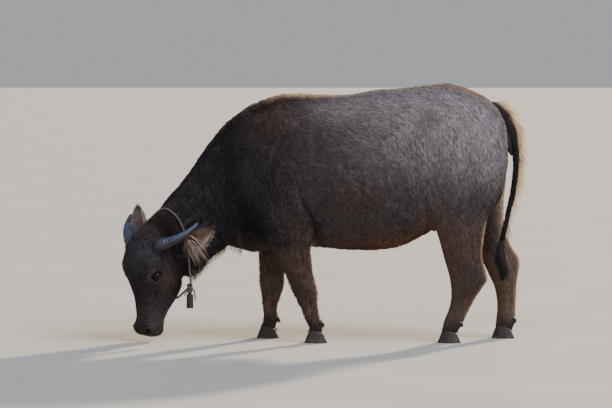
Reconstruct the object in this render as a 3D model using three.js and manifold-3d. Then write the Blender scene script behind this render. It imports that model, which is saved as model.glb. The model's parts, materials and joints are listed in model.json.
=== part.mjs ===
// A young swamp buffalo grazing, life size, in millimetres, +Z up.
// It faces -X and its left side is -Y. Its body is lofted whole from measured stations,
// and then parted with thin cuts into the pieces that a person would name.
import * as THREE from "three";
import { mergeVertices } from "three/addons/utils/BufferGeometryUtils.js";
import Module from "manifold-3d";

const wasm = await Module();
wasm.setup();

const GAP = 0.3; // between two pieces that meet
// How finely each form is lofted: points round it, and rows from pole to pole.
const FINE = { trunk: [22, 32], leg: [12, 26], head: [22, 22], ear: [14, 10], horn: [10, 12] };
const LEFT = 1;
const RIGHT = -1;

// Trunk and neck, from the rump to the back of the skull. Each row holds
// top x, top z, bottom x, bottom z, half width, height share of the widest line,
// squareness above it and below it, y of the middle, and the turn to the left in degrees.
const TRUNK = [
  [797, 815, 797, 815, 0, 0.5, 2, 2, 0, 0],
  [789, 908, 789, 712, 66, 0.52, 2, 2, 0, 0],
  [765, 985, 768, 620, 108, 0.56, 2, 2, 0, 0],
  [712, 1040, 712, 545, 146, 0.6, 2, 2, 0, 0],
  [632, 1080, 640, 500, 172, 0.62, 2, 2, 0, 0],
  [540, 1108, 560, 478, 194, 0.64, 1.9, 2.1, 0, 0],
  [450, 1101, 475, 468, 212, 0.6, 1.9, 2.2, 0, 0],
  [340, 1089, 350, 408, 240, 0.52, 2, 2.3, 0, 0],
  [235, 1083, 245, 386, 256, 0.46, 2, 2.3, 0, 0],
  [116, 1063, 120, 386, 254, 0.44, 2, 2.3, 0, 0],
  [0, 1062, 0, 396, 236, 0.44, 1.9, 2.2, 0, 0],
  [-100, 1070, -100, 398, 212, 0.45, 1.8, 2.2, 0, 0],
  [-190, 1064, -200, 384, 190, 0.46, 1.8, 2.1, 0, 0],
  [-275, 1040, -300, 376, 164, 0.47, 1.8, 2, 0, 0],
  [-345, 1004, -366, 392, 136, 0.48, 1.8, 2, -2, 0],
  [-415, 950, -412, 398, 116, 0.48, 1.8, 2, -8, 4],
  [-490, 868, -452, 378, 104, 0.48, 1.8, 2, -18, 10],
  [-560, 765, -492, 350, 99, 0.48, 2, 2.1, -34, 20],
  [-628, 674, -530, 306, 98, 0.5, 2.3, 2.2, -54, 30],
  [-684, 606, -572, 280, 97, 0.52, 2.6, 2.2, -78, 40],
  [-720, 556, -620, 300, 80, 0.5, 2.4, 2, -98, 46],
  [-716, 430, -716, 430, 0, 0.5, 2, 2, -110, 46],
];
// Swellings and hollows of the trunk: x, z, reach along x, reach along z, rise.
const TRUNK_FORMS = [
  [480, 985, 55, 45, 26], // hip bone
  [385, 930, 75, 70, -20], // hollow of the flank
  [770, 900, 45, 45, 10], // pin bone
  [-160, 930, 70, 110, 10], // shoulder blade
  [-55, 900, 45, 130, -12], // behind the shoulder
  [-430, 700, 60, 160, -8], // side of the neck
  [60, 640, 120, 120, 8], // ribs
];

// Legs: z, front x, back x, y of the middle, half thickness, pinch of the back edge.
const FORELEG_NEAR = [
  [905, -190, -190, 100, 0, 0],
  [870, -235, -140, 104, 30, 0],
  [800, -272, -92, 108, 62, 0],
  [700, -314, -56, 114, 80, 0],
  [600, -340, -26, 118, 86, 0],
  [520, -322, -12, 122, 78, 0.1],
  [460, -272, -26, 124, 64, 0.2],
  [408, -236, -46, 123, 54, 0.2],
  [344, -198, -42, 120, 48, 0.2],
  [290, -168, -34, 118, 44, 0.1],
  [250, -152, -23, 117, 46, 0],
  [218, -138, -17, 116, 44, 0],
  [185, -122, -17, 116, 38, 0.1],
  [150, -104, -14, 116, 34, 0.2],
  [107, -87, -6, 116, 36, 0.1],
  [77, -76, 9, 116, 42, 0],
  [50, -74, 6, 116, 39, 0],
  [24, -80, 0, 116, 34, 0],
  [14, -40, -40, 116, 0, 0],
];
const FORELEG_FAR = [
  [905, -190, -190, 100, 0, 0],
  [870, -235, -140, 104, 30, 0],
  [800, -272, -95, 108, 62, 0],
  [700, -316, -62, 114, 80, 0],
  [600, -346, -42, 118, 86, 0],
  [520, -340, -52, 122, 76, 0.1],
  [460, -312, -92, 124, 62, 0.2],
  [408, -290, -130, 123, 54, 0.2],
  [344, -284, -152, 120, 48, 0.2],
  [290, -282, -158, 118, 44, 0.1],
  [250, -282, -160, 117, 46, 0],
  [218, -279, -164, 116, 44, 0],
  [180, -274, -176, 116, 38, 0.1],
  [140, -269, -189, 116, 34, 0.2],
  [108, -266, -190, 116, 36, 0.1],
  [78, -272, -182, 116, 42, 0],
  [50, -282, -192, 116, 39, 0],
  [24, -288, -200, 116, 34, 0],
  [14, -240, -240, 116, 0, 0],
];
const HINDLEG_NEAR = [
  [1010, 560, 560, 90, 0, 0],
  [975, 500, 640, 92, 30, 0],
  [920, 468, 716, 98, 56, 0],
  [850, 448, 766, 106, 72, 0],
  [760, 436, 782, 112, 80, 0],
  [680, 440, 774, 114, 84, 0],
  [602, 452, 738, 116, 79, 0.1],
  [540, 464, 706, 116, 72, 0.2],
  [495, 474, 695, 116, 66, 0.25],
  [430, 495, 685, 116, 56, 0.35],
  [387, 508, 681, 115, 50, 0.4],
  [344, 520, 687, 114, 46, 0.35],
  [301, 532, 698, 113, 44, 0.25],
  [270, 539, 703, 112, 43, 0.15],
  [236, 544, 684, 111, 40, 0.1],
  [193, 546, 655, 110, 36, 0.1],
  [150, 537, 631, 110, 33, 0.2],
  [107, 520, 610, 110, 35, 0.1],
  [74, 505, 598, 110, 41, 0],
  [45, 494, 582, 110, 38, 0],
  [24, 488, 572, 110, 34, 0],
  [14, 530, 530, 110, 0, 0],
];
const HINDLEG_FAR = [
  [1010, 560, 560, 90, 0, 0],
  [975, 500, 640, 92, 30, 0],
  [920, 468, 716, 98, 56, 0],
  [850, 450, 768, 106, 72, 0],
  [760, 448, 790, 112, 80, 0],
  [680, 468, 796, 114, 84, 0],
  [602, 502, 790, 116, 79, 0.1],
  [540, 538, 788, 116, 72, 0.2],
  [495, 570, 792, 116, 66, 0.25],
  [431, 622, 808, 116, 56, 0.35],
  [387, 655, 829, 115, 50, 0.4],
  [350, 680, 852, 114, 46, 0.3],
  [318, 698, 856, 113, 44, 0.2],
  [270, 722, 850, 112, 43, 0.15],
  [230, 742, 844, 111, 39, 0.1],
  [190, 752, 842, 110, 35, 0.1],
  [150, 756, 841, 110, 33, 0.2],
  [108, 756, 840, 110, 35, 0.1],
  [75, 748, 844, 110, 41, 0],
  [45, 736, 832, 110, 38, 0],
  [24, 728, 822, 110, 34, 0],
  [14, 780, 780, 110, 0, 0],
];
const LEG_SQUARENESS = 2.2;

// Head, in its own frame: l to the animal's left, n out of the forehead, a up towards the poll.
// Each row holds a, n of the front, n of the back, half width, squareness in front and behind.
const HEAD = [
  [274, -62, -62, 0, 2, 2],
  [262, -14, -112, 44, 2.2, 2],
  [234, 22, -128, 66, 2.3, 2],
  [196, 54, -134, 78, 2.4, 2],
  [140, 88, -146, 88, 2.6, 2.1],
  [75, 98, -162, 92, 2.6, 2.3],
  [18, 90, -180, 89, 2.5, 2.6],
  [-30, 70, -188, 80, 2.4, 2.7],
  [-78, 50, -174, 69, 2.4, 2.7],
  [-125, 36, -140, 59, 2.4, 2.4],
  [-168, 26, -108, 54, 2.5, 2.4],
  [-205, 22, -92, 57, 2.8, 2.4],
  [-234, 12, -84, 55, 2.8, 2.4],
  [-250, -12, -70, 38, 2.4, 2.2],
  [-255, -40, -40, 0, 2, 2],
];
// Swellings and hollows of the head: l, n, a, reach, rise.
const HEAD_FORMS = [
  [86, 40, 52, 34, 14], // brow over the eye
  [84, 12, -12, 26, 6], // cheekbone below the eye
  [76, -100, -20, 46, 12], // cheek muscle
  [62, 6, -75, 34, -8], // hollow before the cheek
  [46, 8, -212, 24, 9], // wing of the nostril
  [44, -78, -222, 20, 5], // lower lip
  [76, 20, 150, 34, 8], // root of the horn
  [90, -6, 90, 30, -8], // temple
  [70, -66, -150, 26, 4], // corner of the mouth
];
const HEAD_AT = new THREE.Vector3(-754, -110, 275);
const HEAD_TURN = 52; // degrees to the left
const HEAD_ROLL = 4; // degrees, the left side lower

const EYE = { l: 77, n: 26, a: 24, radius: 20, lid: 4.5, opening: 15, slant: 20 };
const NOSTRIL = { l: 33, n: 14, a: -224, wide: 9, long: 15, deep: 18, slant: 35 };
const MOUTH = { n: -58, line: 3, depth: 9, corner: -166, end: -262, lean: 0.16 };

const HORN = {
  path: [[58, 18, 142], [170, -22, 182], [197, -100, 258]],
  root: 24,
  tip: 4,
  flat: 0.82,
};
const EAR = {
  root: [86, -70, 108],
  near: [160, -84, 140],
  far: [44, -4, 166],
  long: 212,
  wide: 98,
  thick: 5,
  cup: 1.25,
};

// Where the head is parted from the neck, in the head's frame: n and a at the nape and at the throat.
const SEAM = { nape: [-112, 262], throat: [-196, -20] };
const NECK_SEAM_X = -378;

const TAIL = [
  [700, -4, 1012, 20],
  [738, -5, 1004, 22],
  [778, -7, 973, 22],
  [806, -9, 925, 20],
  [824, -11, 860, 17],
  [831, -13, 783, 14],
  [827, -15, 710, 12],
  [816, -17, 636, 10.5],
  [800, -19, 566, 9.5],
  [784, -20, 495, 9],
  [772, -21, 440, 9],
];
const TAIL_SPLIT = 0.5; // share of its length where the tail's two lengths meet
const SWITCH = [
  [772, -21, 439, 10],
  [766, -22, 400, 17],
  [770, -23, 350, 21],
  [776, -24, 310, 19],
  [770, -25, 278, 14],
  [748, -26, 258, 8],
  [724, -27, 252, 1],
];
// Long hair: where it grows from, as shares of a length, how many locks and how long they are.
const TAIL_FRINGE = { from: 0.03, to: 0.78, count: 32, length: 54, width: 17, thick: 6 };
const SWITCH_LOCKS = { count: 20, length: 105, width: 20, thick: 8, core: 0.5 };
const THROAT_FRINGE = { from: -590, to: -405, count: 22, length: 50, width: 18, thick: 6 };
const EAR_HAIR = { count: 10, length: 62, width: 13, thick: 5 };

const CLAW = { long: 98, wide: 41, tall: 62, apart: 2, lean: 20 };
const CORONET = { front: 56, back: 34 };
const DEWCLAW = { long: 30, thick: 11, out: 20, z: 78 };
const FEET = {
  fore_left: { side: LEFT, x: -30, y: 116 },
  fore_right: { side: RIGHT, x: -238, y: 116 },
  hind_left: { side: LEFT, x: 540, y: 110 },
  hind_right: { side: RIGHT, x: 785, y: 110 },
};

const COLLAR = {
  nape: [-732, -112, 530],
  throat: [-570, -84, 243],
  turn: 62, // degrees to the left
  radius: 4.5,
  steps: 40,
};
const KNOT = { long: 26, deep: 24, tall: 34, below: 10 };
const BELL = { wide: 28, deep: 24, tall: 70, mouth: 1.12, wall: 3, cap: 9 };

const HIDE = new THREE.MeshStandardMaterial({ color: 0x3a3232, roughness: 0.85 });
const HORN_STUFF = new THREE.MeshStandardMaterial({ color: 0x4a4d52, roughness: 0.45 });
const HOOF_STUFF = new THREE.MeshStandardMaterial({ color: 0x1d1a18, roughness: 0.6 });
const EYE_STUFF = new THREE.MeshStandardMaterial({ color: 0x0c0808, roughness: 0.1 });
const HAIR = new THREE.MeshStandardMaterial({ color: 0x171312, roughness: 0.9 });
const ROPE_STUFF = new THREE.MeshStandardMaterial({ color: 0x77706a, roughness: 0.9 });
const BELL_STUFF = new THREE.MeshStandardMaterial({ color: 0x241a16, roughness: 0.6 });

const radians = THREE.MathUtils.degToRad;

// A smooth row of numbers at share t of a table.
function between(table, t) {
  const last = table.length - 1;
  const at = Math.min(Math.max(t, 0) * last, last);
  const i = Math.min(Math.floor(at), last - 1);
  const f = at - i;
  const row = (k) => table[Math.min(Math.max(k, 0), last)];
  return table[0].map((_, c) => {
    const [p, q, r, s] = [row(i - 1)[c], row(i)[c], row(i + 1)[c], row(i + 2)[c]];
    return q + (f * (r - p + f * (2 * p - 5 * q + 4 * r - s + f * (3 * (q - r) + s - p)))) / 2;
  });
}

// A closed skin from pole to pole: place(t, angle) gives each of its points.
function loft(around, rows, place) {
  const shape = new THREE.SphereGeometry(1, around, rows);
  const points = shape.attributes.position;
  for (let i = 0; i < points.count; i++) {
    const column = (i % (around + 1)) % around;
    const row = Math.floor(i / (around + 1));
    const p = place(row / rows, (column / around) * 2 * Math.PI);
    points.setXYZ(i, p.x, p.y, p.z);
  }
  return shape;
}

// A manifold solid of a closed geometry, whichever way its faces were wound.
function solid(geometry) {
  const plain = geometry.clone();
  plain.deleteAttribute("normal");
  plain.deleteAttribute("uv");
  const merged = mergeVertices(plain, 1e-3);
  const vertProperties = merged.attributes.position.array;
  const triVerts = new Uint32Array(merged.index.array);
  const made = new wasm.Manifold(new wasm.Mesh({ numProp: 3, vertProperties, triVerts }));
  if (made.volume() > 0) return made;
  for (let i = 0; i < triVerts.length; i += 3) {
    [triVerts[i + 1], triVerts[i + 2]] = [triVerts[i + 2], triVerts[i + 1]];
  }
  return new wasm.Manifold(new wasm.Mesh({ numProp: 3, vertProperties, triVerts }));
}

// The geometry of a manifold solid.
function geometryOf(body) {
  const mesh = body.getMesh();
  const points = new THREE.BufferAttribute(new Float32Array(mesh.vertProperties), 3);
  const geometry = new THREE.BufferGeometry().setAttribute("position", points);
  return geometry.setIndex(new THREE.BufferAttribute(new Uint32Array(mesh.triVerts), 1));
}

const joined = (bodies) => bodies.reduce((a, b) => a.add(b));
const less = (body, ...others) => others.reduce((a, b) => a.subtract(b), body);

// The same solid, thickened all round by the gap: itself and six copies moved a little.
function grown(body, by = GAP) {
  const moves = [[by, 0, 0], [-by, 0, 0], [0, by, 0], [0, -by, 0], [0, 0, by], [0, 0, -by]];
  return joined([body, ...moves.map((move) => body.translate(move))]);
}

// Only the largest closed surface, without the scraps of a cut.
function largest(body) {
  return body.decompose().reduce((a, b) => (a.volume() > b.volume() ? a : b));
}

const bulge = (value, power) => Math.sign(value) * Math.abs(value) ** (2 / power);

function trunkPoint(t, angle, inset = 0) {
  const row = between(TRUNK, t);
  const [topX, topZ, bottomX, bottomZ, half, wide, roof, keel, midY, turn] = row;
  const up = Math.cos(angle);
  const power = up > 0 ? roof : keel;
  const share = wide + bulge(up, power) * (up > 0 ? 1 - wide : wide);
  const side = half * bulge(Math.sin(angle), power);
  const lean = topX - bottomX;
  const point = new THREE.Vector3(bottomX + lean * share, 0, bottomZ + (topZ - bottomZ) * share);
  point.y = midY + lean * (share - 0.5) * Math.tan(radians(turn));
  const middle = new THREE.Vector3(bottomX + lean * wide, point.y, bottomZ + (topZ - bottomZ) * wide);
  point.x += side * Math.sin(radians(turn));
  point.y -= side * Math.cos(radians(turn));
  const out = point.clone().sub(middle);
  if (out.length() < 1) return point;
  let rise = -inset;
  for (const [x, z, reachX, reachZ, height] of TRUNK_FORMS) {
    rise += height * Math.exp(-(((point.x - x) / reachX) ** 2) - ((point.z - z) / reachZ) ** 2);
  }
  return point.addScaledVector(out.normalize(), rise);
}

// The middle of the neck's underside at a place along it.
function neckUnderside(x) {
  for (let t = 0.5; t < 1; t += 0.002) {
    if (between(TRUNK, t)[2] <= x) return trunkPoint(t, Math.PI);
  }
  return trunkPoint(1, Math.PI);
}

function legPoint(table, side, t, angle) {
  const [z, front, back, midY, half, pinch] = between(table, t);
  const along = bulge(Math.cos(angle), LEG_SQUARENESS);
  const across = bulge(Math.sin(angle), LEG_SQUARENESS);
  const narrow = 1 - pinch * Math.max(along, 0);
  const x = (front + back) / 2 + ((back - front) / 2) * along;
  return new THREE.Vector3(x, -side * (midY + half * across * narrow), z);
}

const HEAD_FRAME = (() => {
  const turn = radians(HEAD_TURN);
  const left = new THREE.Vector3(Math.sin(turn), -Math.cos(turn), 0);
  const front = new THREE.Vector3(-Math.cos(turn), -Math.sin(turn), 0);
  const up = new THREE.Vector3(0, 0, 1);
  const frame = new THREE.Matrix4().makeBasis(left, front, up);
  const roll = new THREE.Matrix4().makeRotationAxis(front, -radians(HEAD_ROLL));
  return roll.multiply(frame).setPosition(HEAD_AT);
})();

// A point given in the head's frame, in the animal's.
const onHead = (l, n, a) => new THREE.Vector3(l, n, a).applyMatrix4(HEAD_FRAME);

// A loose form, such as a sphere or a prism, set in the head's frame.
function headForm(geometry) {
  return solid(geometry.clone().applyMatrix4(HEAD_FRAME));
}

function headPoint(t, angle, inset = 0) {
  const [a, front, back, half, squareFront, squareBack] = between(HEAD, t);
  const ahead = Math.cos(angle);
  const power = ahead > 0 ? squareFront : squareBack;
  const middle = (front + back) / 2;
  const point = new THREE.Vector3(
    half * bulge(Math.sin(angle), power),
    middle + ((front - back) / 2) * bulge(ahead, power),
    a,
  );
  const out = new THREE.Vector3(point.x, point.y - middle, 0);
  if (out.length() < 1) return point.applyMatrix4(HEAD_FRAME);
  let rise = -inset;
  for (const [l, n, up, reach, height] of HEAD_FORMS) {
    const far = (Math.abs(point.x) - l) ** 2 + (point.y - n) ** 2 + (point.z - up) ** 2;
    rise += height * Math.exp(-far / reach ** 2);
  }
  return point.addScaledVector(out.normalize(), rise).applyMatrix4(HEAD_FRAME);
}

// A box that fills the half space beyond a plane, for parting the body.
function beyond(point, normal, by = 0) {
  const size = 3000;
  const box = new THREE.BoxGeometry(size, size, size);
  const turn = new THREE.Quaternion().setFromUnitVectors(new THREE.Vector3(0, 0, 1), normal);
  box.translate(0, 0, size / 2 - by).applyQuaternion(turn);
  return solid(box.translate(point.x, point.y, point.z));
}

// A prism over a side view outline, from |y| = inner outwards on one side.
function sideRegion(outline, side, inner, by = 0) {
  const curve = new THREE.Shape(outline.map(([x, z]) => new THREE.Vector2(x, z)));
  const depth = 500;
  const prism = new THREE.ExtrudeGeometry(curve, { depth, bevelEnabled: false });
  prism.rotateX(Math.PI / 2);
  if (side === LEFT) prism.translate(0, -(inner - by), 0);
  else prism.translate(0, inner - by + depth, 0);
  return by ? grown(solid(prism), by) : solid(prism);
}

// An arched outline for a leg's region: from the front foot of the arch over its crown to the back.
function arch(front, back, crown, foot, low = -20) {
  const steps = 12;
  const points = [[back[0], low], [back[0], back[1]]];
  const middle = (front[0] + back[0]) / 2;
  const half = (back[0] - front[0]) / 2;
  for (let i = 1; i < steps; i++) {
    const angle = (Math.PI * i) / steps;
    const base = THREE.MathUtils.lerp(back[1], front[1], i / steps);
    points.push([middle + half * Math.cos(angle), base + (crown - base) * Math.sin(angle)]);
  }
  points.push([front[0], front[1]], [foot, low]);
  return points;
}

const REGIONS = {
  foreleg_left: { outline: arch([-352, 430], [-8, 440], 742, -300), side: LEFT, inner: 58 },
  foreleg_right: { outline: arch([-360, 430], [-30, 440], 742, -360), side: RIGHT, inner: 58 },
  hindleg_left: { outline: arch([448, 470], [840, 560], 880, 430), side: LEFT, inner: 38 },
  hindleg_right: { outline: arch([448, 500], [870, 560], 880, 448), side: RIGHT, inner: 38 },
};
const LEG_TABLES = {
  foreleg_left: FORELEG_NEAR,
  foreleg_right: FORELEG_FAR,
  hindleg_left: HINDLEG_NEAR,
  hindleg_right: HINDLEG_FAR,
};

// A tube of changing radius along a table of points.
function tube(table, around, rows, flat = 1) {
  const points = table.map(([x, y, z]) => new THREE.Vector3(x, y, z));
  const curve = new THREE.CatmullRomCurve3(points, false, "centripetal");
  const frames = curve.computeFrenetFrames(rows);
  return loft(around, rows, (t, angle) => {
    const row = Math.round(t * rows);
    const end = row === 0 || row === rows;
    const inner = Math.min(Math.max(t, 1 / rows / 2), 1 - 1 / rows / 2);
    const at = end ? t : inner;
    const index = at * (table.length - 1);
    const i = Math.min(Math.floor(index), table.length - 2);
    const radius = THREE.MathUtils.lerp(table[i][3], table[i + 1][3], index - i);
    const p = curve.getPoint(at);
    if (end) return p;
    p.addScaledVector(frames.normals[row], radius * Math.cos(angle));
    return p.addScaledVector(frames.binormals[row], radius * flat * Math.sin(angle));
  });
}

// The same numbers between 0 and 1 on every run.
function seeded(seed) {
  let state = seed;
  return () => {
    state = (state * 16807) % 2147483647;
    return state / 2147483647;
  };
}

// One flat, tapered lock: it leaves its root along one direction and bends to a second.
function lock(root, out, bend, { length, width, thick }) {
  const across = new THREE.Vector3().crossVectors(out, bend).normalize();
  const middle = root.clone().addScaledVector(out, length * 0.5);
  const tip = middle.clone().addScaledVector(bend, length * 0.55);
  const curve = new THREE.QuadraticBezierCurve3(root, middle, tip);
  return solid(loft(4, 4, (t, angle) => {
    const p = curve.getPoint(t);
    if (t === 0 || t === 1) return p;
    const taper = 1 - 0.85 * t ** 2;
    const side = new THREE.Vector3().crossVectors(curve.getTangent(t), across).normalize();
    p.addScaledVector(across, (width / 2) * taper * Math.cos(angle));
    return p.addScaledVector(side, (thick / 2) * taper * Math.sin(angle));
  }));
}

const group = new THREE.Group();

function addMesh(name, body, material) {
  const mesh = new THREE.Mesh(geometryOf(largest(body)), material);
  mesh.name = name;
  group.add(mesh);
}

// Flesh: trunk, neck, head and legs in one, before it is parted.
const legSolids = Object.entries(LEG_TABLES).map(([name, table]) => {
  return solid(loft(...FINE.leg, (t, angle) => legPoint(table, REGIONS[name].side, t, angle)));
});
const trunkSolid = solid(loft(...FINE.trunk, (t, angle) => trunkPoint(t, angle)));
const headSolid = solid(loft(...FINE.head, (t, angle) => headPoint(t, angle)));

function eyeBall(side, radius) {
  const ball = new THREE.SphereGeometry(radius, 12, 8);
  return headForm(ball.translate(side * EYE.l, EYE.n, EYE.a));
}

// The almond between the lids, cut through them from outside.
function lidOpening(side) {
  const almond = new THREE.SphereGeometry(EYE.opening, 10, 6);
  almond.scale(1.6, 1.12, 0.74);
  almond.rotateX(radians(-EYE.slant));
  return headForm(almond.translate(side * (EYE.l + EYE.radius), EYE.n + 4, EYE.a - 1));
}

function nostril(side) {
  const pit = new THREE.SphereGeometry(1, 8, 6);
  pit.scale(NOSTRIL.wide, NOSTRIL.deep, NOSTRIL.long);
  pit.rotateY(radians(side * NOSTRIL.slant));
  return headForm(pit.translate(side * NOSTRIL.l, NOSTRIL.n, NOSTRIL.a));
}

// The line between the lips: a thin slab round the muzzle, less the inside of the head.
function mouthLine() {
  const tall = MOUTH.corner - MOUTH.end;
  const slab = new THREE.BoxGeometry(160, MOUTH.line, tall);
  slab.translate(0, 0, -tall / 2).rotateX(Math.atan(MOUTH.lean));
  slab.translate(0, MOUTH.n - MOUTH.lean * tall * 0.7, MOUTH.corner);
  const inside = loft(12, HEAD.length - 1, (t, angle) => headPoint(t, angle, MOUTH.depth));
  return less(headForm(slab), solid(inside));
}

const lids = [LEFT, RIGHT].map((side) => eyeBall(side, EYE.radius + EYE.lid));
const sockets = [LEFT, RIGHT].flatMap((side) => [
  eyeBall(side, EYE.radius + GAP),
  lidOpening(side),
  nostril(side),
]);
const flesh = less(joined([trunkSolid, headSolid, ...legSolids, ...lids]), ...sockets, mouthLine());

const nape = onHead(0, ...SEAM.nape);
const throat = onHead(0, ...SEAM.throat);
const seamAcross = onHead(1, 0, 0).sub(onHead(0, 0, 0));
const seamNormal = throat.clone().sub(nape).cross(seamAcross).normalize();
if (seamNormal.x > 0) seamNormal.negate();
const neckSeam = new THREE.Vector3(NECK_SEAM_X, 0, 0);
const forward = new THREE.Vector3(-1, 0, 0);

const headPart = flesh.intersect(beyond(nape, seamNormal, 0));
const neckFlesh = less(flesh.intersect(beyond(neckSeam, forward, 0)), beyond(nape, seamNormal, GAP));

// Hair along the underside of the throat, bending back and down.
function throatLocks() {
  const draw = seeded(11);
  const { from, to, count } = THROAT_FRINGE;
  const locks = [];
  for (let i = 0; i < count; i++) {
    const share = (i + 0.5) / count;
    const under = neckUnderside(THREE.MathUtils.lerp(from, to, share));
    const root = under.add(new THREE.Vector3(0, (draw() - 0.5) * 34, 9));
    const out = new THREE.Vector3(0.25 + 0.2 * draw(), (draw() - 0.5) * 0.5, -1).normalize();
    const bend = new THREE.Vector3(0.9, (draw() - 0.5) * 0.4, -0.75).normalize();
    const length = THROAT_FRINGE.length * (0.75 + 0.5 * draw());
    locks.push(lock(root, out, bend, { ...THROAT_FRINGE, length }));
  }
  return locks;
}
const neckPart = joined([neckFlesh, ...throatLocks()]);
const legParts = Object.fromEntries(
  Object.entries(REGIONS).map(([name, { outline, side, inner }]) => [
    name,
    flesh.intersect(sideRegion(outline, side, inner)),
  ]),
);
const torsoPart = less(
  flesh,
  beyond(neckSeam, forward, GAP),
  ...Object.values(REGIONS).map(({ outline, side, inner }) => sideRegion(outline, side, inner, GAP)),
);

addMesh("torso", torsoPart, HIDE);
addMesh("neck", neckPart, HIDE);
addMesh("head", headPart, HIDE);

// Feet: each leg ends at the coronet, and two claws carry it.
function coronetPlane(foot, by) {
  const half = CLAW.long / 2;
  const slope = (CORONET.front - CORONET.back) / CLAW.long;
  const normal = new THREE.Vector3(-slope, 0, -1).normalize().negate();
  const point = new THREE.Vector3(foot.x - half, 0, CORONET.front + by);
  return beyond(point, normal, 0);
}

function clawSolid(foot, inner) {
  const y = foot.y + inner * (CLAW.wide / 2 + CLAW.apart / 2);
  const rows = 5;
  const body = loft(12, rows, (t, angle) => {
    const row = Math.round(t * rows);
    if (row === 0) return new THREE.Vector3(foot.x, -foot.side * y, 0);
    if (row === rows) return new THREE.Vector3(foot.x, -foot.side * y, CLAW.tall);
    const height = (row - 1) / (rows - 2);
    const toe = Math.cos(angle);
    const wide = (CLAW.wide / 2) * (1 - 0.12 * height) * (toe > 0 ? 1 - 0.25 * toe ** 2 : 1);
    const long = (CLAW.long / 2) * (1 - 0.1 * height);
    const x = foot.x - long * toe + CLAW.lean * (toe > 0 ? toe : 0) * height;
    return new THREE.Vector3(x, -foot.side * (y + wide * Math.sin(angle)), height * CLAW.tall);
  });
  return solid(body);
}

function dewclaw(foot, inner) {
  const back = legBackAt(foot, DEWCLAW.z);
  const y = -foot.side * (foot.y + inner * DEWCLAW.out);
  const table = [
    [back - 14, y, DEWCLAW.z + 12, DEWCLAW.thick],
    [back + 4, y, DEWCLAW.z + 4, DEWCLAW.thick],
    [back + 14, y, DEWCLAW.z - DEWCLAW.long / 2, 2],
  ];
  return solid(tube(table, 8, 5));
}

// How far back a leg reaches at a height.
function legBackAt(foot, z) {
  const table = foot.table;
  for (let t = 0.5; t < 1; t += 0.002) {
    const row = between(table, t);
    if (row[0] <= z) return row[2];
  }
  return foot.x;
}

for (const [place, foot] of Object.entries(FEET)) {
  const [end, hand] = place.split("_");
  const name = `${end}leg_${hand}`;
  foot.table = LEG_TABLES[name];
  const leg = legParts[name].intersect(coronetPlane(foot, 0));
  addMesh(name, leg, HIDE);
  const legGrown = grown(largest(leg));
  for (const [word, inner] of [["inner", -1], ["outer", 1]]) {
    const claw = less(clawSolid(foot, inner), coronetPlane(foot, -GAP));
    addMesh(`claw_${place}_${word}`, claw, HOOF_STUFF);
    addMesh(`dewclaw_${place}_${word}`, less(dewclaw(foot, inner), legGrown), HOOF_STUFF);
  }
}

const headGrown = grown(largest(headPart));
const neckGrown = grown(largest(neckPart));
for (const [hand, side] of [["left", LEFT], ["right", RIGHT]]) {
  addMesh(`eye_${hand}`, eyeBall(side, EYE.radius), EYE_STUFF);
}

function hornSolid(side) {
  const [root, bend, tip] = HORN.path.map(([l, n, a]) => onHead(side * l, n, a));
  const curve = new THREE.QuadraticBezierCurve3(root, bend, tip);
  const steps = 6;
  const table = curve.getPoints(steps).map((p, i) => {
    const share = i / steps;
    const radius = THREE.MathUtils.lerp(HORN.root, HORN.tip, share ** 1.15);
    return [p.x, p.y, p.z, radius];
  });
  return solid(tube(table, ...FINE.horn, HORN.flat));
}

// An ear: a leaf, rolled into a cup that opens forwards and down.
function earSolid(side, reach) {
  const root = onHead(side * EAR.root[0], EAR.root[1], EAR.root[2]);
  const tip = onHead(side * (EAR.root[0] + reach[0]), EAR.root[1] + reach[1], EAR.root[2] + reach[2]);
  const along = tip.clone().sub(root).normalize();
  const facing = onHead(side * 0.45, 1.0, -0.55).sub(onHead(0, 0, 0));
  const across = new THREE.Vector3().crossVectors(along, facing).normalize();
  const back = new THREE.Vector3().crossVectors(across, along).normalize();
  if (back.dot(facing) > 0) back.negate();
  const place = (t, angle) => {
    const middle = root.clone().addScaledVector(along, EAR.long * t);
    if (t === 0 || t === 1) return middle;
    const stem = THREE.MathUtils.smoothstep(t, 0, 0.4);
    const half = (EAR.wide / 2) * Math.sin(Math.PI * (0.2 + 0.8 * t)) ** 0.8 * (0.5 + 0.5 * stem);
    const roll = EAR.cup * (1 - 0.55 * t);
    const outer = angle < Math.PI;
    const share = outer ? angle / Math.PI : 2 - angle / Math.PI;
    const bend = (share * 2 - 1) * roll;
    const radius = half / Math.sin(Math.min(roll, Math.PI / 2));
    const thick = EAR.thick * (outer ? 0.5 : -0.5) * (1 - 0.3 * Math.abs(share * 2 - 1));
    const sag = radius * (Math.cos(bend) - 1);
    return middle
      .addScaledVector(across, radius * Math.sin(bend))
      .addScaledVector(back, sag + thick);
  };
  return { body: solid(loft(...FINE.ear, place)), place };
}

// Long hair that grows inside the ear and falls over its lower edge.
function earLocks(place, side) {
  const edge = side === LEFT ? Math.PI : 0;
  const draw = seeded(53);
  const locks = [];
  for (let i = 0; i < EAR_HAIR.count; i++) {
    const t = 0.16 + 0.62 * ((i + 0.5) / EAR_HAIR.count);
    const lower = place(t, edge);
    const upper = place(t, Math.PI / 2);
    const out = lower.clone().sub(upper).normalize();
    const bend = out.clone().multiplyScalar(0.6);
    bend.add(new THREE.Vector3(0.1 * (draw() - 0.5), 0.3 * (draw() - 0.5), -0.9)).normalize();
    const length = EAR_HAIR.length * (0.7 + 0.6 * draw());
    locks.push(lock(lower.addScaledVector(out, -7), out, bend, { ...EAR_HAIR, length }));
  }
  return locks;
}

for (const [hand, side] of [["left", LEFT], ["right", RIGHT]]) {
  addMesh(`horn_${hand}`, less(hornSolid(side), headGrown), HORN_STUFF);
}
const hornsGrown = [LEFT, RIGHT].map((side) => grown(hornSolid(side)));

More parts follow.
